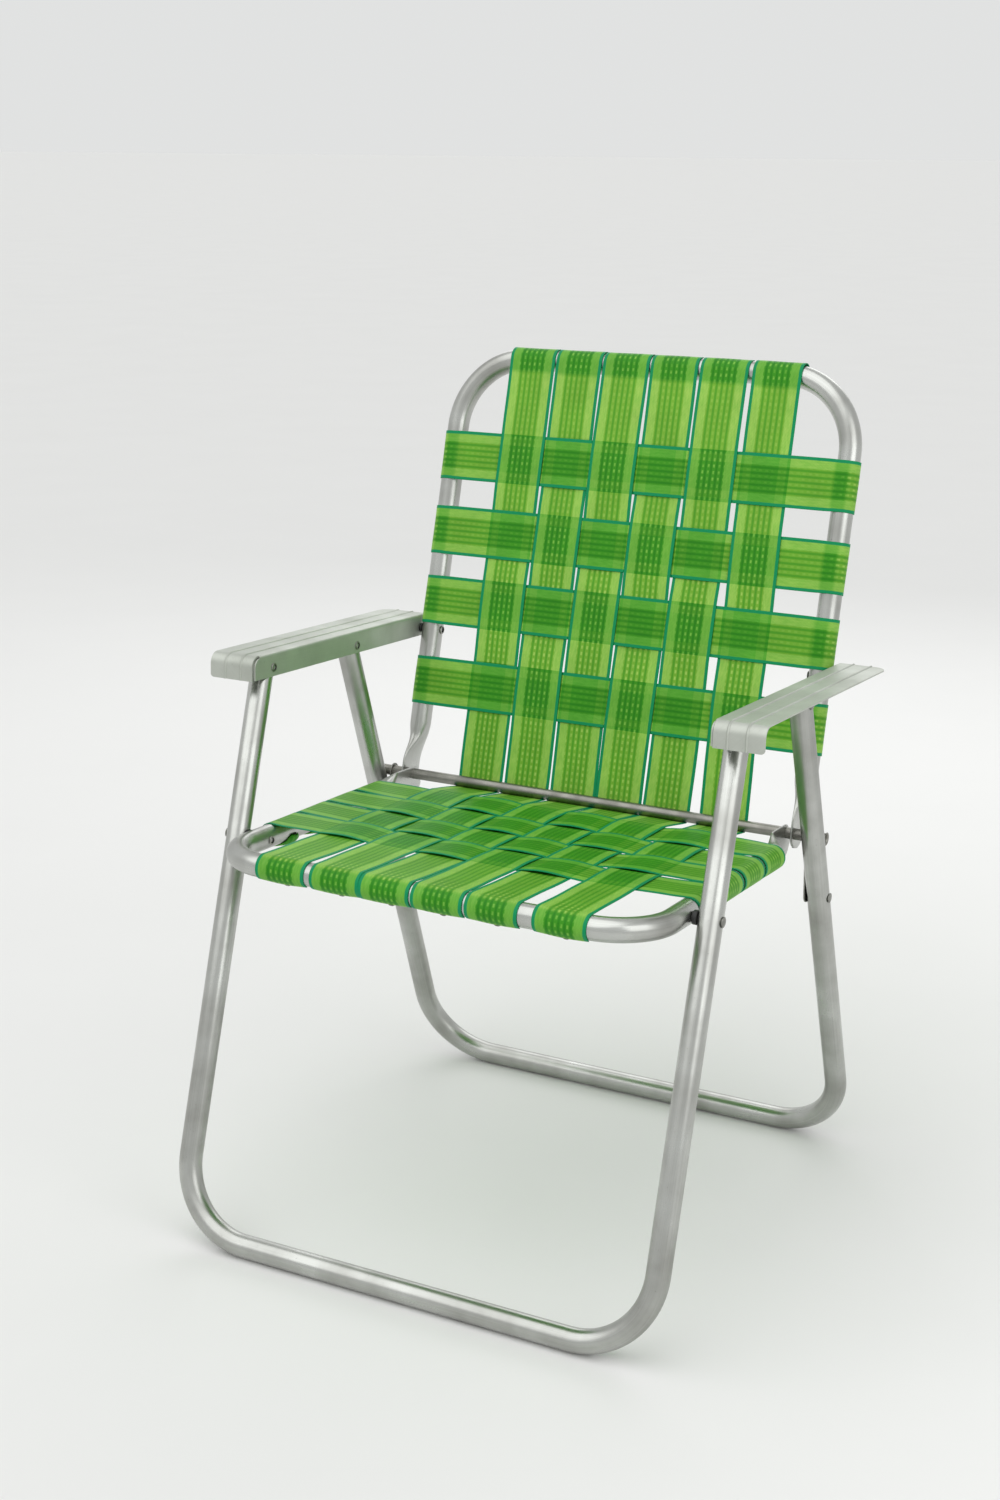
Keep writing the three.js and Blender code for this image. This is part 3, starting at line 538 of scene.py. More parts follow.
class Finish:
    """A material being made: adds nodes, joins them and reads the surface map."""

    def __init__(self, name):
        self.material = bpy.data.materials.new(name)
        self.material.use_nodes = True
        self.tree = self.material.node_tree
        self.surface = self.tree.nodes["Principled BSDF"]

    def put(self, node, socket, value):
        if isinstance(value, bpy.types.NodeSocket):
            self.tree.links.new(value, node.inputs[socket])
        else:
            node.inputs[socket].default_value = value

    def node(self, kind, inputs, **settings):
        made = self.tree.nodes.new(kind)
        for name, value in settings.items():
            setattr(made, name, value)
        for socket, value in inputs.items():
            self.put(made, socket, value)
        return made

    def give(self, socket, value):
        self.put(self.surface, socket, value)

    def math(self, operation, first, second=0.0, third=0.0):
        made = self.node("ShaderNodeMath", {0: first, 1: second, 2: third}, operation=operation)
        return made.outputs[0]

    def times(self, first, second):
        return self.math("MULTIPLY", first, second)

    def mixed(self, share, first, second, kind="MIX"):
        inputs = {0: share}
        for socket, colour in ((6, first), (7, second)):
            inputs[socket] = colour if isinstance(colour, bpy.types.NodeSocket) else (*colour, 1.0)
        return self.node("ShaderNodeMix", inputs, data_type="RGBA", blend_type=kind).outputs[2]

    def between(self, value, low, high, to_low=0.0, to_high=1.0):
        made = self.node("ShaderNodeMapRange", {0: value, 1: low, 2: high, 3: to_low, 4: to_high})
        return made.outputs[0]

    def map(self):
        return self.node("ShaderNodeUVMap", {}, uv_map="Surface").outputs[0]

    def attribute(self, name):
        return self.node("ShaderNodeAttribute", {}, attribute_name=name).outputs["Fac"]

    def place(self):
        return self.node("ShaderNodeTexCoord", {}).outputs["Object"]

    def stretched(self, coordinates, scale):
        return self.node("ShaderNodeMapping", {"Vector": coordinates, "Scale": scale}).outputs[0]

    def noise(self, coordinates, scale, detail=3.0, roughness=0.55):
        inputs = {"Vector": coordinates, "Scale": scale, "Detail": detail, "Roughness": roughness}
        return self.node("ShaderNodeTexNoise", inputs).outputs["Fac"]

    def bump(self, height, strength):
        made = self.node("ShaderNodeBump", {"Height": height, "Strength": strength, "Distance": BUMP_DEPTH})
        self.give("Normal", made.outputs[0])


def worn_metal(name, bright, dull, roughness, patch_scale, metal):
    """Bare metal with fine drawn lines along the piece, soft dull patches, a few small pits and painted shade
    inside hollow rivet ends.
    """
    finish = Finish(name)
    lines = finish.noise(finish.stretched(finish.map(), DRAWN_SCALE), 1.0, 4.0, 0.6)
    patches = finish.noise(finish.place(), patch_scale, 4.0, 0.5)
    specks = finish.noise(finish.place(), PIT_SCALE, 2.0, 0.5)
    dulled = finish.between(patches, *PATCHES)
    streaked = finish.between(lines, *DRAWN)
    worn = finish.math("ADD", dulled, streaked)
    pits = finish.between(specks, *PITS)
    base = finish.mixed(worn, bright, dull)
    base = finish.mixed(pits, base, scaled(dull, PIT_SHADE))
    # Painted shade: the insides of hollow rivet ends are near black and not metallic
    hollow = finish.attribute("hollow")
    base = finish.mixed(hollow, base, HOLLOW_PAINTED_SHADE)
    finish.give("Base Color", base)
    finish.give("Metallic", finish.between(hollow, 0.0, 1.0, metal, 0.0))
    finish.give("Roughness", finish.between(worn, 0.0, 1.0, *roughness))
    finish.bump(finish.math("SUBTRACT", lines, pits), METAL_BUMP)
    return finish.material


def black_plastic(name):
    finish = Finish(name)
    grain = finish.noise(finish.place(), GRAIN_SCALE, 2.0)
    tint = colours().plastic
    finish.give("Base Color", finish.mixed(grain, tint, scaled(tint, GRAIN_SHADE)))
    finish.give("Roughness", finish.between(grain, *GRAIN_ROUGHNESS))
    finish.bump(grain, GRAIN_BUMP)
    return finish.material


def webbing(name):
    """Woven plastic webbing: teal edge lines, light twill bands and a middle of dark lines and light dots,
    with painted shade where less light comes through it.
    """
    palette = colours()
    finish = Finish(name)
    split = finish.node("ShaderNodeSeparateXYZ", {0: finish.map()})
    across, along = split.outputs[0], split.outputs[1]
    _, edge_from, band_from = stripe_edges()
    wander = finish.math("SUBTRACT", finish.noise(finish.map(), WANDER_SCALE, 2.0), 0.5)
    ragged = finish.math("MULTIPLY_ADD", wander, STRIPE_WANDER, finish.math("ABSOLUTE", across))
    in_band = finish.between(ragged, band_from - BAND_BLUR, band_from + BAND_BLUR)
    in_edge = finish.between(ragged, edge_from - EDGE_BLUR, edge_from + EDGE_BLUR)
    in_middle = finish.math("SUBTRACT", 1.0, in_band)

    # Five dark lines, and between them four rows of floating threads, some of them worn
    lane = finish.math("DIVIDE", finish.math("MULTIPLY_ADD", wander, LINE_WANDER, across), LINE_PITCH)
    from_line = finish.math("ABSOLUTE", finish.math("SUBTRACT", lane, finish.math("ROUND", lane)))
    line = finish.times(finish.between(from_line, *LINE_SIDE, 1.0, 0.0), in_middle)
    pick = finish.math("FRACT", finish.math("DIVIDE", along, DOT_PITCH))
    thread = finish.between(finish.math("PINGPONG", pick, 0.5), *THREAD_SIDE)
    worn = finish.between(finish.noise(finish.map(), WORN_SCALE, 1.0), *WORN)
    thread = finish.times(thread, worn)
    in_row = finish.between(from_line, *ROW_SIDE)
    dot = finish.times(finish.times(thread, in_row), in_middle)
    dot = finish.times(dot, finish.attribute("dots"))

    # Twill and streaks of the bands, and ribs of the middle
    twill = finish.math("MULTIPLY_ADD", across, TWILL_ACROSS, finish.times(along, TWILL_ALONG))
    twill = finish.math("PINGPONG", twill, 1.0)
    ribs = finish.math("PINGPONG", finish.times(along, RIBS), 1.0)
    weave = finish.node("ShaderNodeMix", {0: in_band, 2: ribs, 3: twill}).outputs[0]
    streaks = finish.noise(finish.stretched(finish.map(), STREAK_SCALE), 1.0, 3.0)
    streaks = finish.between(streaks, *STREAKS)

    middle = finish.mixed(line, palette.strap_middle, palette.strap_line)
    middle = finish.mixed(dot, middle, palette.strap_dot)
    band = finish.mixed(streaks, palette.strap_band, palette.strap_dot)
    tone = finish.mixed(in_band, middle, band)
    woven = finish.between(weave, 0.0, 1.0, *WOVEN_SHADE)
    aged = finish.between(finish.noise(finish.place(), AGED_SCALE, 4.0), *AGED)
    shade = finish.times(woven, aged)
    grey = finish.node("ShaderNodeCombineColor", {0: shade, 1: shade, 2: shade}).outputs[0]
    tone = finish.mixed(1.0, tone, grey, "MULTIPLY")

    # Painted shade where less light comes through, over another layer and over a tube, with a least share of
    # it: it darkens the middle most, the bands and the threads less, and the edge lines not at all
    darkened = 0.0
    for behind, spared in (("layers", BANDS_SPARED[name]), ("on_tube", BANDS_SPARED_ON_TUBE)):
        kept = finish.math("MULTIPLY_ADD", in_band, spared, finish.times(dot, DOTS_SPARED))
        share = finish.times(finish.attribute(behind), finish.math("SUBTRACT", 1.0, kept))
        darkened = finish.math("MAXIMUM", share, darkened)
    through = finish.mixed(1.0, tone, palette.strap_through, "MULTIPLY")
    tone = finish.mixed(darkened, tone, through)
    tone = finish.mixed(in_edge, tone, palette.strap_edge)
    finish.give("Base Color", tone)
    finish.give("Roughness", finish.between(weave, 0.0, 1.0, *WEBBING_ROUGHNESS))
    finish.give("Specular IOR Level", WEBBING_SPECULAR)
    finish.bump(finish.math("MULTIPLY_ADD", dot, DOT_RELIEF, weave), WEBBING_BUMP)
    return finish.material


def finish_for(slot):
    """The material of one of the record's slots, made when it is first asked for."""
    if slot == "spacer":
        name = "black_spacer_plastic"
        return bpy.data.materials.get(name) or black_plastic(name)
    name, bright, dull, *wear = METALS[slot]
    palette = colours()
    tints = getattr(palette, bright), getattr(palette, dull)
    return bpy.data.materials.get(name) or worn_metal(name, *tints, *wear)


def carry(piece, body, slot, *nodes):
    """Sets a finished piece on its body in place of the solids it stands for."""
    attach(piece, body)
    if nodes:
        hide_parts(*nodes)


# Bent tubes


def u_stations(width, length, bend, from_ends):
    """Stations of a U in its plane: x, distance along, way outwards and distance from the end."""
    stations = [(-width, length - gap, -1.0, 0.0, gap) for gap in from_ends]
    for side, start in ((-1, math.pi), (1, 3 * QUARTER)):
        for out_x, out_along in arc(QUARTER, BEND_STEPS, start):
            x = side * (width - bend) + bend * out_x
            stations.append((x, bend + bend * out_along, out_x, out_along, length))
    stations += [(width, length - gap, 1.0, 0.0, gap) for gap in reversed(from_ends)]
    return stations


def round_form(radius):
    return {"thick": radius, "wide": radius, "power": 1.0, "inwards": 0.0, "raised": 0.0}


def tab_form(from_end, tab, radius):
    """The section of a tube that is pressed flat at its end."""
    thin = 1 - ramp(from_end, tab["length"], tab["thins"])
    flat = 1 - ramp(from_end, tab["length"], tab["widens"])
    tip = min(from_end / tab["tip"], 1.0)
    rounded = math.sqrt(max(1 - (1 - tip) ** 2, TIP_BLUNTNESS))
    return {
        "thick": mix(radius, TAB_THICKNESS / 2, thin),
        "wide": mix(radius, TAB_WIDTH / 2, flat) * rounded,
        "power": mix(1.0, TAB_SIDE_FLATNESS, thin),
        "inwards": flat * tab["inwards"],
        "raised": flat * tab["raised"],
    }


def section(plane, station, form):
    """A ring of points round a tube at one station."""
    x, along, out_x, out_along, _ = station
    ring = []
    for c, s in arc(TURN, TUBE_SIDES)[:-1]:
        outwards = math.copysign(abs(c) ** form["power"], c) * form["thick"] - form["inwards"]
        raised = s * form["wide"] + form["raised"]
        ring.append(plane.at(x + out_x * outwards, along + out_along * outwards, raised))
    return ring


def bent_tube(name, plane, stations, form_at, extra_ends=()):
    """A tube through stations, with further rings at distances past both its ends."""
    rings = [section(plane, station, form_at(station[4])) for station in stations]
    along = list(travelled([plane.at(station[0], station[1], 0.0) for station in stations]))
    for offset, form in extra_ends:
        first, last = (
            section(plane, (station[0], station[1] + offset, *station[2:]), form)
            for station in (stations[0], stations[-1])
        )
        rings = [first] + rings + [last]
        along = [along[0] - abs(offset)] + along + [along[-1] + abs(offset)]
    around = [math.pi * sizes().tube * share for share in shares(TUBE_SIDES)]
    return link_object(name, rings_mesh(name, rings, around, along), finish_for("tube"))


def leg_frame(kind, top, lower):
    """A leg frame from its top rivets down through a lower point of its legs to the floor."""
    size = sizes()
    node = f"{kind}_leg_frame"
    radius = size.tube / 2
    foot = top.lerp(lower, (top.z - radius) / (top.z - lower.z))
    length = (top - foot).length + LEG_END_FULL
    stations = u_stations(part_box(node)[1][0] - radius, length, size.leg_bend, [0.0])
    inside = round_form(LEG_END_RADIUS - size.wall)
    shut_in = LEG_END_LENGTH - LEG_END_FULL
    ends = [(shut_in, round_form(LEG_END_RADIUS)), (shut_in, inside), (-LEG_END_DEPTH, inside)]
    plane = Plane(foot, top, 1)
    tube = bent_tube(f"{kind}_leg_tube", plane, stations, lambda from_end: round_form(radius), ends)
    carry(tube, f"{kind}_legs", "tube", node)


class LAWNCHAIR_OT_leg_frames(bpy.types.Operator):
    """Bend the front and rear leg frames, whose bars lie on the floor"""

    bl_idname = "lawnchair.leg_frames"
    bl_label = "Leg frames"

    def execute(self, context):
        leg_frame("front", ARM_FRONT, SEAT_PIVOT)
        leg_frame("rear", ARM_LEG, LINK_LEG)
        return {"FINISHED"}


def tabbed_frame(kind, plane, bend):
    """A seat's or back's frame, whose ends are flattened."""
    radius = sizes().tube / 2
    tab = TABS[kind]
    node = f"{kind}_frame"
    length = plane.measure(ROD)[0] + tab["tip"]
    tip = [tab["tip"] * share for share in TIP_SHARES]
    taper = [tab["length"] + tab["thins"] * share for share in shares(TAPER_STEPS)]
    stations = u_stations(half_width(node), length, bend, tip + taper)
    tube = bent_tube(f"{kind}_tube", plane, stations, lambda from_end: tab_form(from_end, tab, radius))
    carry(tube, kind, "tube", node)


class LAWNCHAIR_OT_seat_and_back_frames(bpy.types.Operator):
    """Bend the seat and back frames, whose flattened ends hang on the hinge rod"""

    bl_idname = "lawnchair.seat_and_back_frames"
    bl_label = "Seat and back frames"

    def execute(self, context):
        planes = webbed_planes()
        tabbed_frame("seat", planes["seat"], sizes().seat_bend)
        tabbed_frame("back", planes["back"], sizes().back_bend)
        return {"FINISHED"}


# Arms


def corner_inset(from_end, radius):
    """How far a rounded corner draws an edge in, at a distance from the end."""
    depth = max(radius - from_end, 0.0)
    return radius - math.sqrt(max(radius ** 2 - depth ** 2, 0.0))


def corner_gaps(radius):
    """Distances from an end at which the rows of a rounded corner lie."""
    return [radius * (1 - c) for c, s in arc(QUARTER, ROUND_STEPS)]


def plate_columns(outer, edge):
    """Places across an arm's plate, with the rise of its pressed beads."""
    columns = [(edge, 0.0)]
    for middle in BEAD_PLACES:
        for share in np.linspace(-1.0, 1.0, BEAD_COLUMNS):
            rise = BEAD_HEIGHT * math.cos(share * QUARTER) ** 2
            columns.append((middle + share * BEAD_HALF_WIDTH, rise))
    last = columns[-1][0]
    return columns + [(mix(last, outer, share), 0.0) for share in shares(PLATE_COLUMNS, 1)]


def plate_rows(rear, height, sheet):
    """Rows of the plate from its rear end over the front bend to the flap, and how many are straight.

    Each has a distance along, a height, the way that its beads rise and how far its corner is drawn in.
    """
    start = ARM_BEND - ARM_FRONT_REACH
    radius = ARM_BEND - sheet / 2
    lower = ARM_LIFT - ARM_FLAP_DEPTH
    rows = []
    for gap in corner_gaps(ARM_REAR_CORNER):
        rows.append((rear - gap, height, 0.0, 1.0, corner_inset(gap, ARM_REAR_CORNER)))
    for share in shares(PLATE_STEPS, 1):
        rows.append((mix(rear - ARM_REAR_CORNER, start, share), height, 0.0, 1.0, 0.0))
    straight = len(rows)
    for c, s in arc(QUARTER, ROUND_STEPS, QUARTER)[1:]:
        rows.append((start + radius * c, height - radius + radius * s, c, s, 0.0))
    for gap in reversed(corner_gaps(ARM_FLAP_CORNER)):
        rows.append((start - radius, lower + gap, -1.0, 0.0, corner_inset(gap, ARM_FLAP_CORNER)))
    return rows, straight


def arm_sheet(name, side, node):
    """An arm: a plate with two beads, bent down along its inner edge to a flange and in front to a flap."""
    sheet = sizes().sheet
    plane = Plane(ARM_FRONT, ARM_BACK, 1)
    inner, outer = side_reach(node)
    rear = (ARM_BACK - ARM_FRONT).length + ARM_REAR_REACH
    height = ARM_LIFT - sheet / 2
    edge = sheet / 2 + ARM_EDGE_BEND
    bottom = ARM_LIFT - ARM_FLANGE_DEPTH
    points, faces, corners = [], [], []

    def add(across, along, up):
        points.append(plane.at(side * (inner + across), along, up))
        return len(points) - 1

    def flange(along, lowest, top):
        return [add(sheet / 2, along, mix(lowest, top, share)) for share in shares(FLANGE_STEPS)]

    def join(first, second):
        for column in range(len(first) - 1):
            quad = (first[column], first[column + 1], second[column + 1], second[column])
            faces.append(quad)
            for index in quad:
                along, up = plane.measure(points[index])
                corners.extend([abs(points[index].x) - inner - up, along])

    made = []
    rows, straight = plate_rows(rear, height, sheet)
    for number, (along, up, out_along, out_up, inset) in enumerate(rows):
        row = []
        if number < straight:
            row = flange(along, bottom + corner_inset(rear - along, FLANGE_CORNER), height - ARM_EDGE_BEND)
            for c, s in arc(QUARTER, FLANGE_STEPS)[1:-1]:
                row.append(add(edge - ARM_EDGE_BEND * c, along, height - ARM_EDGE_BEND * (1 - s)))
        for across, rise in plate_columns(outer - inner - inset, edge):
            row.append(add(across, along + rise * out_along, up + rise * out_up))
        made.append(row)
    for first, second in zip(made, made[1:]):
        join(first[-len(second):], second)

    # The flange runs on under the front bend, a seam's width inside it
    inside = ARM_BEND - sheet - ARM_SEAM
    before = made[straight - 1][:FLANGE_STEPS + 1]
    for c, s in arc(QUARTER, ROUND_STEPS)[1:]:
        column = flange(ARM_BEND - ARM_FRONT_REACH - inside * s, bottom, ARM_LIFT - ARM_BEND + inside * c)
        join(before, column)
        before = column

    mesh = new_mesh(name, points, faces, corners)
    outward(mesh)
    piece = link_object(name, mesh, finish_for("arm_sheet"))
    add_thickness(piece, sheet)
    add_bevel(piece, SHEET_EDGE)
    carry(piece, "arms", "arm_sheet", node)


class LAWNCHAIR_OT_arms(bpy.types.Operator):
    """Press the two arms out of sheet, with a flange, a front flap and two beads"""

    bl_idname = "lawnchair.arms"
    bl_label = "Arms"

    def execute(self, context):
        for word, side in SIDES:
            arm_sheet(f"{word}_arm_sheet", side, f"{word}_arm")
        return {"FINISHED"}


# Turned pieces, rod and links


def turned(name, profile, centre, slot, shaded_hollow_rings=0):
    """A piece turned about X from a profile of radius and distance along X; its first rings may be painted
    dark as shade.
    """
    rings = []
    for radius, x in profile:
        rim = max(radius, LEAST_RADIUS)
        circle = arc(TURN, TURNED_SIDES)[:-1]
        rings.append([Vector((x, centre.y + rim * c, centre.z + rim * s)) for c, s in circle])
    around = [TURN * RIVET_RIM_RADIUS * share for share in shares(TURNED_SIDES)]
    mesh = rings_mesh(name, rings, around, travelled(profile))
    dark = [float(ring < shaded_hollow_rings) for ring in range(len(profile)) for step in range(TURNED_SIDES)]
    mesh.attributes.new("hollow", "FLOAT", "POINT").data.foreach_set("value", dark)
    return link_object(name, mesh, finish_for(slot))


def domed_head(x):
    dome = [
        (RIVET_HEAD_RADIUS * c, x + RIVET_HEAD * mix(HEAD_EDGE, 1.0, s)) for c, s in arc(QUARTER, DOME_STEPS)
    ]
    return [(RIVET_RADIUS, x), (RIVET_HEAD_RADIUS * HEAD_UNDERSIDE, x)] + dome


def rolled_rim(x, rim, floor):
    """A hollow rivet end down to a floor, rolled over in a half round."""
    middle = (RIVET_BORE + RIVET_RIM_RADIUS) / 2
    half = (RIVET_RIM_RADIUS - RIVET_BORE) / 2
    roll = [
        (middle - half * c, x - rim * (ROLL_EDGE + ROLL_RISE * s)) for c, s in arc(TURN / 2, ROUND_STEPS)
    ]
    return [(0.0, floor), (RIVET_BORE, floor)] + roll + [(RIVET_RIM_RADIUS, x), (RIVET_RADIUS, x)]


def rivet_profile(node):
    """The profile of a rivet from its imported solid, with a hollow inner end, a domed outer end or both."""
    inner, outer = side_reach(node)
    if node.endswith("rim"):
        rim = min(outer - inner - sizes().sheet - RUNNING_GAP, RIVET_RIM)
        start = inner + rim
        return rolled_rim(start, rim, start + RUNNING_GAP) + [(RIVET_RADIUS, outer), (0.0, outer)]
    head = domed_head(outer - RIVET_HEAD)
    if node.endswith(("arm_front_rivet", "link_rivet")):
        return [(0.0, inner), (RIVET_RADIUS, inner)] + head
    return rolled_rim(inner + RIVET_RIM, RIVET_RIM, inner + RIVET_BORE_DEPTH) + head


def spacer_profile(node):
    inner, outer = side_reach(node)
    low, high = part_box(node)
    radius = (high[1] - low[1]) / 2
    return [
        (RIVET_RADIUS, inner),
        (radius - SPACER_EDGE, inner),
        (radius, inner + SPACER_EDGE),
        (radius, outer - SPACER_EDGE),
        (radius - SPACER_EDGE, outer),
        (RIVET_RADIUS, outer),
    ]


RIVETS = {
    "arm_front_rivet": "front_legs",
    "arm_front_rivet_rim": "arms",
    "arm_leg_rivet": "rear_legs",
    "arm_back_rivet": "back",
    "seat_rivet": "seat",
    "link_rivet": "rear_legs",
    "link_rivet_rim": "links",
}
SPACERS = {"arm_back_spacer": "back", "seat_spacer": "seat"}


class LAWNCHAIR_OT_rivets(bpy.types.Operator):
    """Turn the rivets and the spacers of every pivot"""

    bl_idname = "lawnchair.rivets"
    bl_label = "Rivets and spacers"

    def execute(self, context):
        for word, side in SIDES:
            for kind, body in {**RIVETS, **SPACERS}.items():
                node = f"{word}_{kind}"
                slot = "spacer" if kind in SPACERS else "rivet"
                outline = spacer_profile(node) if kind in SPACERS else rivet_profile(node)
                # The first rings of a hollow rivet end lie inside its bore and get painted shade
                shaded_hollow_rings = SHADED_HOLLOW_RINGS if outline[1][0] == RIVET_BORE else 0
                outline = [(radius, side * x) for radius, x in outline]
                piece = turned(f"{node}_turned", outline, side_point(node), slot, shaded_hollow_rings)
                carry(piece, body, slot, node)
        return {"FINISHED"}


def rod_profile():
    """The outline of the rod, whose hollow ends are flared."""
    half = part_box("hinge_rod")[1][0]
    radius = sizes().rod / 2
    bore = radius - ROD_WALL
    right = [
        (radius + ROD_FLARE * ramp(share, 0.0, 1.0), half - ROD_FLARE_LENGTH * (1 - share))
        for share in shares(FLARE_STEPS)
    ]
    right += [(radius + ROD_FLARE - ROD_LIP, half), (bore + ROD_FLARE, half - ROD_LIP_DEPTH)]
    right += [(bore, half - ROD_FLARE_LENGTH), (bore, half - ROD_DEPTH), (0.0, half - ROD_DEPTH)]
    return [(reach, -x) for reach, x in reversed(right)] + right


def link_strap(name, side, node):
    """A flat link with round ends, from the rod to the rear leg."""
    towards = LINK_LEG - ROD
    start = math.atan2(towards.z, towards.y)
    outline = []
    for centre, turn in ((ROD, QUARTER), (LINK_LEG, -QUARTER)):
        for c, s in arc(TURN / 2, LINK_STEPS, start + turn):
            outline.append((centre.y + LINK_RADIUS * c, centre.z + LINK_RADIUS * s))
    inner, outer = side_reach(node)
    rings = [[Vector((side * x, y, z)) for y, z in outline] for x in (inner, outer)]
    around = [LINK_OUTLINE * share for share in shares(len(outline))]
    piece = link_object(name, rings_mesh(name, rings, around, [0.0, outer - inner]), finish_for("rivet"))
    add_bevel(piece, SHEET_EDGE)
    carry(piece, "links", "rivet", node)


class LAWNCHAIR_OT_hinge(bpy.types.Operator):
    """Make the hinge rod and the links that join it to the rear legs"""

    bl_idname = "lawnchair.hinge"
    bl_label = "Hinge rod and links"

    def execute(self, context):
        carry(turned("hinge_rod_tube", rod_profile(), ROD, "rod"), "seat", "rod", "hinge_rod")
        for word, side in SIDES:
            link_strap(f"{word}_link_strap", side, f"{word}_link")
        return {"FINISHED"}


# Webbing


def wrap_radius():
    return sizes().tube / 2 + STRAP_CLEARANCE + sizes().strap_thickness / 2


def rod_wrap_radius():
    return sizes().rod / 2 + ROD_CLEARANCE + sizes().strap_thickness / 2


def wrapped_end():
    """A strap's end from the top of a tube round its outside and under it, as outwards and up."""
    radius = wrap_radius()
    return [(radius * c, radius * s) for c, s in arc(WRAP_END_ANGLE - QUARTER, WRAP_POINTS - 1, QUARTER)]


def fold_length():
    """How much of a strap's end is folded to a point."""
    return wrap_radius() * (FOLD_ANGLE - WRAP_END_ANGLE)


def from_tip(stop, length):
    """The distance from a strap's nearer tip, in lengths of its fold."""
    return min(stop, length - stop) / fold_length()


def end_layers(stop, length):
    """How much of the folded end lies under a strap at a distance along it: all at its tips, none between."""
    return 1 - ramp(from_tip(stop, length), *END_FADE)


def crown(column, layers):
    """How far a folded end stands off its tube, most in the middle of the strap."""
    return END_BULGE * layers * (1 - (2 * column / sizes().strap_width) ** 2)


def narrowing(stop, length):
    """The share of its width that a strap keeps at a distance along it, as its ends are folded to points."""
    return mix(2 * TIP_HALF_WIDTH / sizes().strap_width, 1.0, min(from_tip(stop, length), 1.0))


def sagging(kind, plane):
    """A function of a place on a frame's webbing: how far it hangs there, most in the middle."""
    width = half_width(f"{kind}_frame")
    reach = plane.measure(ROD)[0]

    def hang(x, along):
        aside = min(abs(x) / width, 1.0)
        share = min(max(along / reach, 0.0), 1.0)
        return SAG[kind] * (1 - aside ** 2) * 4 * share * (1 - share)

    return hang


def weave_height(is_over):
    return wrap_radius() + (2 * WEAVE_OFFSET if is_over else 0.0)


def weave_heights(places, crossings, over, arch, last):
    """Heights of a strap at places along it, as it passes over and under the straps that it crosses."""
    half = sizes().strap_width / 2
    knots = [(places[0], wrap_radius())]
    for middle, is_over in zip(crossings, over):
        knots += [(middle - half, weave_height(is_over)), (middle + half, weave_height(is_over))]
    knots.append((last, wrap_radius()))
    heights = []
    for place in places:
        number = max(index for index, knot in enumerate(knots[:-1]) if knot[0] <= place)
        (start, low), (end, high) = knots[number], knots[number + 1]
        height = mix(low, high, ramp(place, start, max(end - start, LEAST_GAP)))
        for middle, is_over in zip(crossings, over):
            if is_over and abs(place - middle) < half:
                height += arch * math.cos((place - middle) / half * QUARTER)
        heights.append(height)
    return heights


def stripe_edges():
    """Distances from a strap's middle to the outer sides of its edge line, light band and middle."""
    half = sizes().strap_width / 2
    return half, half - EDGE_LINE, half - EDGE_LINE - LIGHT_BAND


def crossing_shade(place, crossings):
    """How much painted shade a crossing strap gives at a place, by that strap's own stripes."""
    nearest = min(abs(place - middle) for middle in crossings)
    within = [share for edge, share in zip(stripe_edges(), STRIPE_SHADES) if nearest <= edge]
    return within[-1] if within else 0.0


def stripe_breaks(crossings):
    """Places just before and just after every stripe of the crossing straps."""
    return [
        middle + side * edge + step
        for middle in crossings for edge in stripe_edges() for side in (-1, 1) for step in (-CRISP, CRISP)
    ]


def side_tube_shade(kind, outwards):
    """How much painted shade a side tube gives a cross strap, at a distance outwards from the tube's axis."""
    rises = ramp(outwards, *SIDE_TUBE_RISE)
    return SIDE_TUBE_SHADE[kind] * rises * mix(1.0, SIDE_TUBE_LEFT, ramp(outwards, *SIDE_TUBE_FALL))


def dots_on(kind, along, behind):
    """How clearly a long strap's threads show: most on the bars, low on the back and over other straps."""
    if kind == "seat":
        return mix(*SEAT_DOTS, ramp(along, *SEAT_DOTS_FADE))
    on_bar = 1 - ramp(along, *BACK_BAR_DOTS_FADE)
    alone = mix(*BACK_DOTS, ramp(along, *BACK_DOTS_FADE))
    return max(on_bar, mix(alone, 1.0, behind))


def strap_columns():
    half = sizes().strap_width / 2
    inside = [share * half for share in STRAP_SHARES]
    return [-half, -half + SELVAGE] + inside + [half - SELVAGE, half]


def strap_row(finish, number, stop, length, gathered=0.0):
    """A row across a strap: its places and how far each is lifted, by slight waves and by a folded end."""
    kept = narrowing(stop, length) * (1 - gathered)
    layers = end_layers(stop, length)
    along_waves, across_waves = WAVES[finish]
    row = []
    for column in strap_columns():
        across = column * kept
        wave = WAVE_HEIGHT * math.sin(stop * along_waves + across * across_waves + number)
        row.append((across, wave + crown(column, layers)))
    return row


def course(path, breaks):
    """Stops along a path, closer in its bends and with every break kept, each with its point and normal."""
    distance = travelled(path)
    ways = np.diff(path, axis=0)
    turns = np.zeros(len(path))
    turns[1:-1] = np.abs(np.diff(np.unwrap(np.arctan2(ways[:, 1], ways[:, 0]))))
    measure = distance / STRAP_STEP + np.cumsum(turns) / STRAP_TURN
    even = np.interp(np.arange(0.0, measure[-1], 1.0), measure, distance)
    stops = np.unique(np.concatenate((even, breaks, [distance[-1]])))
    slopes = np.gradient(path, axis=0)
    slopes /= np.linalg.norm(slopes, axis=1)[:, None]
    lines = (path[:, 0], path[:, 1], -slopes[:, 1], slopes[:, 0])
    return list(zip(stops, *(np.interp(stops, distance, line) for line in lines)))


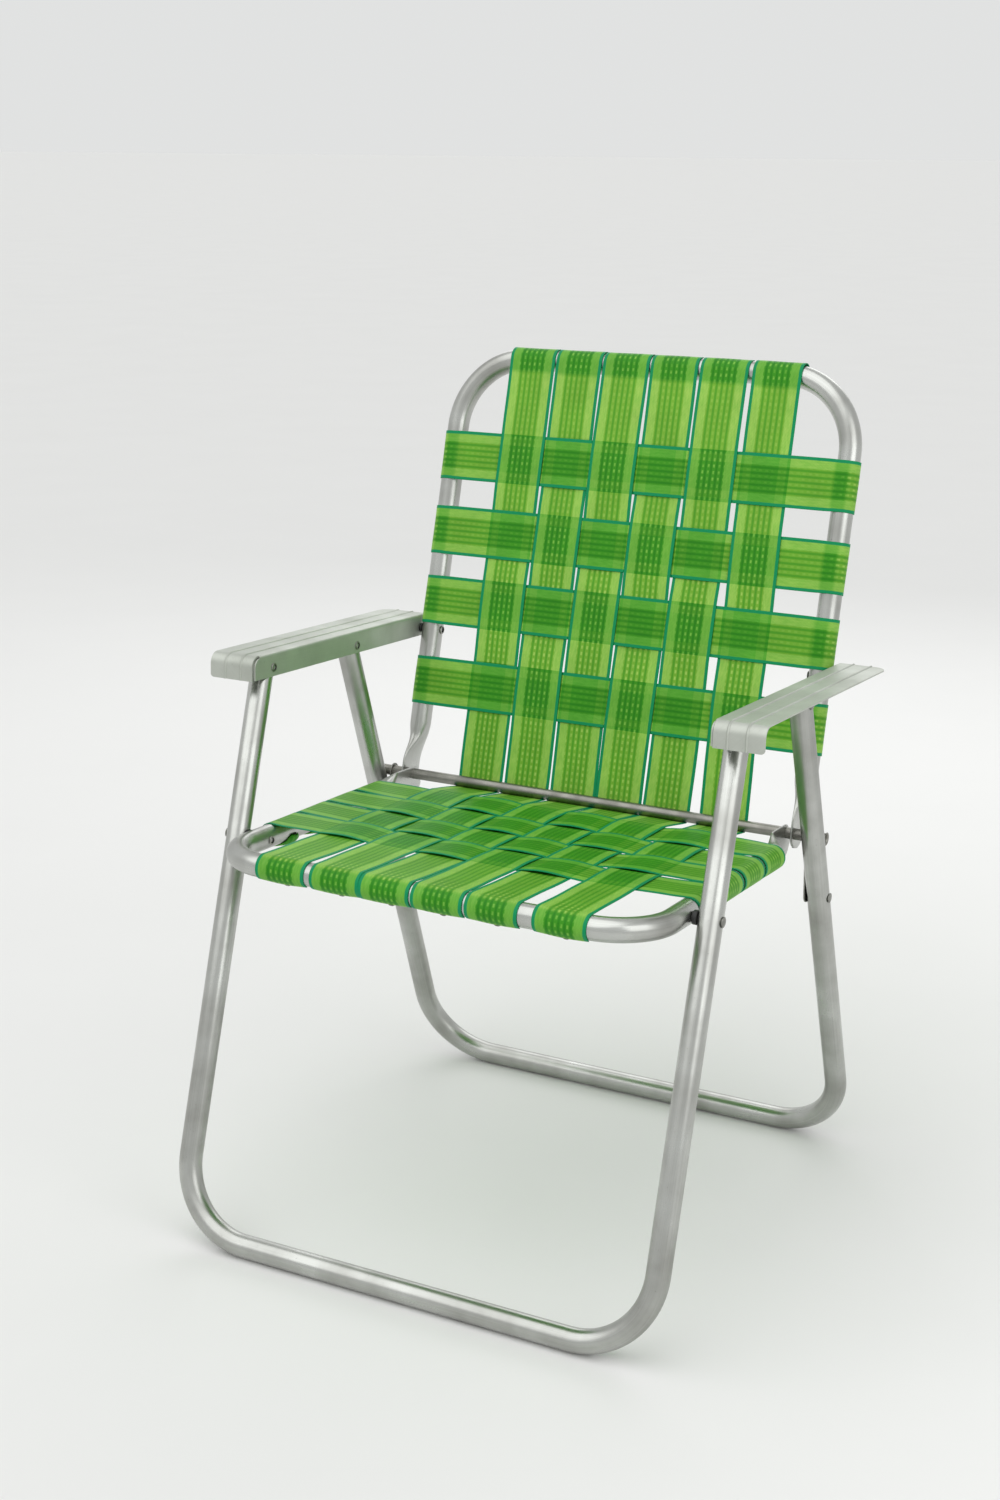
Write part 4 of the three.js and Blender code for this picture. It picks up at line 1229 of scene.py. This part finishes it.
def strap_piece(name, finish, rows, stops, values):
    """A strap over rows of points, with the values of each row that its finish reads."""
    widths = [narrowing(stop, stops[-1]) for stop in stops]
    mesh = rows_mesh(name, rows, strap_columns(), stops, widths)
    # The first two values are painted shade, over other layers and over a tube; the third is how clearly the
    # threads show
    for kind, row_values in zip(("layers", "on_tube", "dots"), zip(*values)):
        attribute = mesh.attributes.new(kind, "FLOAT", "POINT")
        attribute.data.foreach_set("value", np.repeat(np.array(row_values, np.float32), len(rows[0])))
    piece = link_object(name, mesh, bpy.data.materials.get(finish) or webbing(finish))
    add_thickness(piece, sizes().strap_thickness)
    return piece


def strap_middles(kind, plane):
    """Distances along a plane to the middles of the cross straps on it."""
    nodes = [f"{kind}_cross_strap_{number + 1}" for number in range(CROSS_STRAPS)]
    return [plane.measure(side_point(node))[0] for node in nodes]


def strap_tilt(kind, number):
    """How far a cross strap's ends are moved along its frame, one up and one down."""
    return LOWEST_BACK_STRAP_TILT if kind == "back" and number == CROSS_STRAPS - 1 else 0.0


def long_strap_ends(kind, number):
    """The middles of a long strap at its bar and at the rod, from the slant of its solid."""
    half = sizes().strap_width / 2
    vertices = frame["nodes"][f"{kind}_long_strap_{number + 1}"].data.vertices
    at_bar = min(vertex.co.x for vertex in vertices if (vertex.co - ROD).yz.length > BAR_BEYOND)
    at_rod = min(vertex.co.x for vertex in vertices if (vertex.co - ROD).yz.length < ROD_WITHIN)
    shift = FIRST_STRAP_SHIFT if kind == "back" and number == 0 else 0.0
    return at_bar + half - shift, at_rod + half


def long_middles(kind, plane, place):
    """Where the long straps' middles lie across a frame, at a distance along its plane."""
    share = place / plane.measure(ROD)[0]
    return [mix(*long_strap_ends(kind, number), share) for number in range(LONG_STRAPS)]


def cross_strap(kind, number, plane, places):
    """A strap across a frame, wrapped round both side tubes."""
    frame_node = f"{kind}_frame"
    width = half_width(frame_node)
    place = places[number]
    tilt = strap_tilt(kind, number)
    hang = sagging(kind, plane)
    middles = long_middles(kind, plane, place)
    over = [(index + number) % 2 == OVER_PARITY[kind] for index in range(LONG_STRAPS)]
    end = wrapped_end()
    flat = np.arange(-width, width, PATH_STEP)
    weave = list(zip(flat, weave_heights(flat, middles, over, CROSS_ARCH[kind], width)))[1:]
    path = [(-width - out, up) for out, up in reversed(end)]
    path = np.array(path + weave + [(width + out, up) for out, up in end])
    woven = slice(len(end), len(end) + len(weave))
    breaks = np.interp(stripe_breaks(middles), path[woven, 0], travelled(path)[woven])
    stations = course(path, breaks)
    stops = [station[0] for station in stations]
    length = float(stops[-1])
    rows, values = [], []
    for stop, x, up, out_x, out_up in stations:
        outwards = abs(x) - width
        gathered = GATHERED[kind] * ramp(outwards, *GATHERING)
        row = []
        for across, lift in strap_row("cross_webbing", number, stop, length, gathered):
            along = place + across - tilt * x / width
            row.append(plane.at(x + lift * out_x, along, up + lift * out_up - hang(x, along)))
        rows.append(row)
        # Painted shade over the crossing straps and the folded ends, with a least share of it, and over the
        # side tubes
        layers = max(crossing_shade(x, middles), CROSS_LEAST_SHADE[kind], end_layers(stop, length))
        dots = mix(*CROSS_DOTS, ramp(outwards, *CROSS_DOTS_FADE))
        values.append((layers, side_tube_shade(kind, outwards), dots))
    piece = strap_piece(f"{kind}_cross_webbing_{number + 1}", "cross_webbing", rows, stops, values)
    carry(piece, kind, "webbing", f"{kind}_cross_strap_{number + 1}")
    flat = (sizes().strap_width, length)


class LAWNCHAIR_OT_cross_straps(bpy.types.Operator):
    """Lace the four cross straps of the seat and the four of the back"""

    bl_idname = "lawnchair.cross_straps"
    bl_label = "Cross straps"

    def execute(self, context):
        for kind, plane in webbed_planes().items():
            places = strap_middles(kind, plane)
            for number in range(CROSS_STRAPS):
                cross_strap(kind, number, plane, places)
        return {"FINISHED"}


def half_long_path(kind, plane, places, number):
    """A long strap's half from its folded end to where it meets the rod, along and over its plane."""
    over = [(number + index) % 2 != OVER_PARITY[kind] for index in range(CROSS_STRAPS)]
    last = places[-1] + sizes().strap_width / 2
    flat = np.arange(0.0, last, PATH_STEP)
    heights = weave_heights(flat, places, over, LONG_ARCH[kind], last + STRAP_STEP)
    leaving = weave_height(over[-1])
    rod_along, rod_up = plane.measure(ROD)
    radius = rod_wrap_radius()
    ahead, rise = rod_along - last, rod_up - leaving
    angle = math.atan2(rise, ahead) - math.asin(radius / math.hypot(ahead, rise)) - QUARTER
    meets = (rod_along + radius * math.cos(angle), rod_up + radius * math.sin(angle))
    end = [(-out, up) for out, up in reversed(wrapped_end())]
    return end + list(zip(flat, heights))[1:] + [(last, leaving), meets]


def long_strap(number):
    """A strap from the seat's front bar round the rod to the back's top bar."""
    planes = webbed_planes()
    places = {kind: strap_middles(kind, plane) for kind, plane in planes.items()}
    halves = {kind: half_long_path(kind, plane, places[kind], number) for kind, plane in planes.items()}
    spots = {kind: [plane.at(0.0, *place) for place in halves[kind]] for kind, plane in planes.items()}
    radius = rod_wrap_radius()
    start, end = (math.atan2(spots[kind][-1].z - ROD.z, spots[kind][-1].y - ROD.y) for kind in planes)
    bend = [ROD + Vector((0.0, radius * c, radius * s)) for c, s in arc(end - start, ROD_POINTS - 1, start)]
    path = np.array([spot.yz for spot in spots["seat"] + bend[1:-1] + spots["back"][::-1]])
    distance = travelled(path)
    halfway = (distance[len(halves["seat"]) - 1] + distance[-len(halves["back"])]) / 2

    breaks = []
    for kind, reach in (("seat", distance), ("back", distance[::-1])):
        run = np.array(halves[kind])[WRAP_POINTS:, 0]
        breaks.append(np.interp(stripe_breaks(places[kind]), run, reach[WRAP_POINTS:len(halves[kind])]))
    stations = course(path, np.concatenate(breaks))
    stops = [station[0] for station in stations]
    length = float(stops[-1])

    ends = {kind: long_strap_ends(kind, number) for kind in planes}
    hangs = {kind: sagging(kind, plane) for kind, plane in planes.items()}
    rows, values = [], []
    for stop, y, z, out_y, out_z in stations:
        kind = "seat" if stop < halfway else "back"
        plane = planes[kind]
        along = plane.measure(Vector((0.0, y, z)))[0]
        middle = mix(*ends[kind], min(max(along / plane.measure(ROD)[0], 0.0), 1.0))
        middle += SWAY * math.sin(stop * SWAY_WAVES + number * 2)
        row = []
        for across, lift in strap_row("long_webbing", number, stop, length):
            hang = plane.up * hangs[kind](middle + across, along)
            row.append(Vector((middle + across, y + lift * out_y, z + lift * out_z)) - hang)
        rows.append(row)
        # Painted shade over the cross straps and the folded ends, with a least share of it, and over the bars
        behind = crossing_shade(along, places[kind])
        layers = max(behind, end_layers(stop, length), LONG_LEAST_SHADE[kind])
        values.append((layers, 1 - ramp(along, *BAR_SHADE_FADE[kind]), dots_on(kind, along, behind)))
    piece = strap_piece(f"long_webbing_{number + 1}", "long_webbing", rows, stops, values)
    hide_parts(f"seat_long_strap_{number + 1}", f"back_long_strap_{number + 1}")
    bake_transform(piece)


class LAWNCHAIR_OT_long_straps(bpy.types.Operator):
    """Lace the six long straps from the seat's front bar behind the rod to the back's top bar"""

    bl_idname = "lawnchair.long_straps"
    bl_label = "Long straps"

    def execute(self, context):
        for number in range(LONG_STRAPS):
            long_strap(number)
        return {"FINISHED"}


# Screws


def screw_profile():
    """Radius and height of a washer and of a screw's head, and whether the outline is a hexagon there."""
    return [
        (0.0, 0.0, False),
        (WASHER_RADIUS, 0.0, False),
        (WASHER_RADIUS, 0.7 * WASHER, False),
        (0.9 * WASHER_RADIUS, WASHER, False),
        (SCREW_RADIUS, WASHER, True),
        (SCREW_RADIUS, 0.9 * SCREW_HEAD, True),
        (0.85 * SCREW_RADIUS, SCREW_HEAD, False),
        (0.0, SCREW_HEAD, False),
    ]


def screw_mesh(name, seats):
    """Hexagon screws with washers in one mesh, each at a point with its head's way and a way across."""
    profile = screw_profile()
    points, faces, corners = [], [], []
    for place, way, across in seats:
        aside = way.cross(across)
        start = len(points)
        for radius, height, is_hexagon in profile:
            for step, (c, s) in enumerate(arc(TURN, TURNED_SIDES)[:-1]):
                within = TURN * step / TURNED_SIDES % HEXAGON_SIDE - HEXAGON_SIDE / 2
                flat = math.cos(HEXAGON_SIDE / 2) / math.cos(within) if is_hexagon else 1.0
                around = across * c + aside * s
                points.append(place + way * height + around * max(radius, LEAST_RADIUS) * flat)
        for ring in range(len(profile) - 1):
            low = start + ring * TURNED_SIDES
            high = low + TURNED_SIDES
            for step in range(TURNED_SIDES):
                follow = (step + 1) % TURNED_SIDES
                faces.append((low + step, low + follow, high + follow, high + step))
                for turn, level in ((step, ring), (step + 1, ring), (step + 1, ring + 1), (step, ring + 1)):
                    corners += [SCREW_MAP_STEP[0] * turn, SCREW_MAP_STEP[1] * level]
    mesh = new_mesh(name, points, faces, corners, smooth=False)
    outward(mesh)
    return mesh


def screw_seats(kind, plane):
    """Where the screws of a frame's straps sit on the folded ends."""
    from_end = wrap_radius() * (SCREW_ANGLE - WRAP_END_ANGLE)
    bulge = crown(0.0, end_layers(from_end, 2 * from_end))
    reach = wrap_radius() + bulge + sizes().strap_thickness / 2
    out, up = math.cos(SCREW_ANGLE), math.sin(SCREW_ANGLE)
    width = half_width(f"{kind}_frame")
    seats = []
    for number, along in enumerate(strap_middles(kind, plane)):
        for _, side in SIDES:
            way = Vector((side * out, 0.0, 0.0)) + plane.up * up
            centre = plane.at(side * width, along - side * strap_tilt(kind, number), 0.0)
            seats.append((centre + way * reach, way, plane.along))
    for x in long_middles(kind, plane, 0.0):
        way = plane.up * up - plane.along * out
        seats.append((plane.at(x, 0.0, 0.0) + way * reach, way, Vector((1.0, 0.0, 0.0))))
    return seats


class LAWNCHAIR_OT_screws(bpy.types.Operator):
    """Drive a screw through the folded end of every strap"""

    bl_idname = "lawnchair.screws"
    bl_label = "Strap screws"

    def execute(self, context):
        for kind, plane in webbed_planes().items():
            name = f"{kind}_strap_screws"
            piece = link_object(name, screw_mesh(name, screw_seats(kind, plane)), finish_for("rivet"))
            carry(piece, kind, "rivet")
        return {"FINISHED"}


# Stage


def stage_floor():
    name = "pale_floor"
    rows = [[Vector((x, y, 0.0)) for x in FLOOR_LINES] for y in FLOOR_LINES]
    mesh = rows_mesh(name, rows, range(len(FLOOR_LINES)), range(len(FLOOR_LINES)))
    finish = Finish(name)
    grain = finish.noise(finish.place(), FLOOR_SCALE, 3.0)
    tint = colours().floor
    finish.give("Base Color", finish.mixed(grain, tint, scaled(tint, FLOOR_SHADE)))
    finish.give("Roughness", finish.between(grain, *FLOOR_ROUGHNESS))
    floor = link_object(name, mesh, finish.material)


def add_light(name, kind, place, aim, strength, settings):
    """A light that looks at a point, and that the camera doesn't see."""
    lamp = bpy.data.lights.new(name, kind)
    lamp.energy = strength
    for setting, value in settings.items():
        setattr(lamp, setting, value)
    holder = bpy.data.objects.new(name, lamp)
    holder.location = place
    holder.rotation_euler = (Vector(aim) - Vector(place)).to_track_quat("-Z", "Y").to_euler()
    holder.visible_camera = False
    bpy.context.scene.collection.objects.link(holder)


def pale_room(scene):
    """A pale background that the camera and the metal see, with a plain level of light on the chair."""
    world = bpy.data.worlds.new("pale_room")
    scene.world = world
    world.use_nodes = True
    tree = world.node_tree
    background = tree.nodes["Background"]
    background.inputs["Color"].default_value = ROOM_TINT
    path = tree.nodes.new("ShaderNodeLightPath")
    seen = path.outputs["Is Camera Ray"]
    for ray in ("Is Glossy Ray", "Is Transmission Ray"):
        either = tree.nodes.new("ShaderNodeMath")
        either.operation = "MAXIMUM"
        tree.links.new(seen, either.inputs[0])
        tree.links.new(path.outputs[ray], either.inputs[1])
        seen = either.outputs[0]
    strength = tree.nodes.new("ShaderNodeMapRange")
    strength.inputs["To Min"].default_value = ROOM_LIGHT
    strength.inputs["To Max"].default_value = ROOM_SEEN
    tree.links.new(seen, strength.inputs["Value"])
    tree.links.new(strength.outputs[0], background.inputs["Strength"])


def add_camera(scene):
    name = "photograph_camera"
    lens = bpy.data.cameras.new(name)
    lens.sensor_fit = "AUTO"
    lens.sensor_width = SENSOR
    lens.lens = FOCAL_PIXELS * SENSOR / PICTURE_HEIGHT
    camera = bpy.data.objects.new(name, lens)
    camera.location = CAMERA_PLACE
    camera.rotation_euler = CAMERA_TURN
    scene.collection.objects.link(camera)
    scene.camera = camera


class LAWNCHAIR_OT_stage(bpy.types.Operator):
    """Set the floor, the soft light, the pale background and the camera"""

    bl_idname = "lawnchair.stage"
    bl_label = "Stage"

    def execute(self, context):
        scene = context.scene
        stage_floor()
        for name, settings in LIGHTS.items():
            add_light(name, *settings)
        pale_room(scene)
        scene.view_settings.view_transform = "Standard"
        add_camera(scene)
        return {"FINISHED"}


class LAWNCHAIR_PT_panel(bpy.types.Panel):
    """Lists the steps that build the chair, with its sizes and colours"""

    bl_idname = "LAWNCHAIR_PT_panel"
    bl_label = "Folding lawn chair"
    bl_space_type = "VIEW_3D"
    bl_region_type = "UI"
    bl_category = "Chair"

    def draw(self, context):
        layout = self.layout
        for operator in OPERATORS:
            layout.operator(operator.bl_idname)
        for group in (sizes(), colours()):
            box = layout.box()
            for name in group.bl_rna.properties.keys():
                if name not in ("rna_type", "name"):
                    box.prop(group, name)


OPERATORS = (
    LAWNCHAIR_OT_leg_frames,
    LAWNCHAIR_OT_seat_and_back_frames,
    LAWNCHAIR_OT_arms,
    LAWNCHAIR_OT_hinge,
    LAWNCHAIR_OT_rivets,
    LAWNCHAIR_OT_cross_straps,
    LAWNCHAIR_OT_long_straps,
    LAWNCHAIR_OT_screws,
    LAWNCHAIR_OT_stage,
)
CLASSES = (ChairSizes, ChairColours, *OPERATORS, LAWNCHAIR_PT_panel)


def register():
    for each in CLASSES:
        bpy.utils.register_class(each)
    bpy.types.Scene.lawn_chair_sizes = PointerProperty(type=ChairSizes)
    bpy.types.Scene.lawn_chair_colours = PointerProperty(type=ChairColours)


def unregister():
    del bpy.types.Scene.lawn_chair_colours
    del bpy.types.Scene.lawn_chair_sizes
    for each in reversed(CLASSES):
        bpy.utils.unregister_class(each)


def main():
    register()
    bpy.ops.lawnchair.leg_frames()
    bpy.ops.lawnchair.seat_and_back_frames()
    bpy.ops.lawnchair.arms()
    bpy.ops.lawnchair.hinge()
    bpy.ops.lawnchair.rivets()
    bpy.ops.lawnchair.cross_straps()
    bpy.ops.lawnchair.long_straps()
    bpy.ops.lawnchair.screws()
    bpy.ops.lawnchair.stage()


if __name__ == "__main__":
    main()
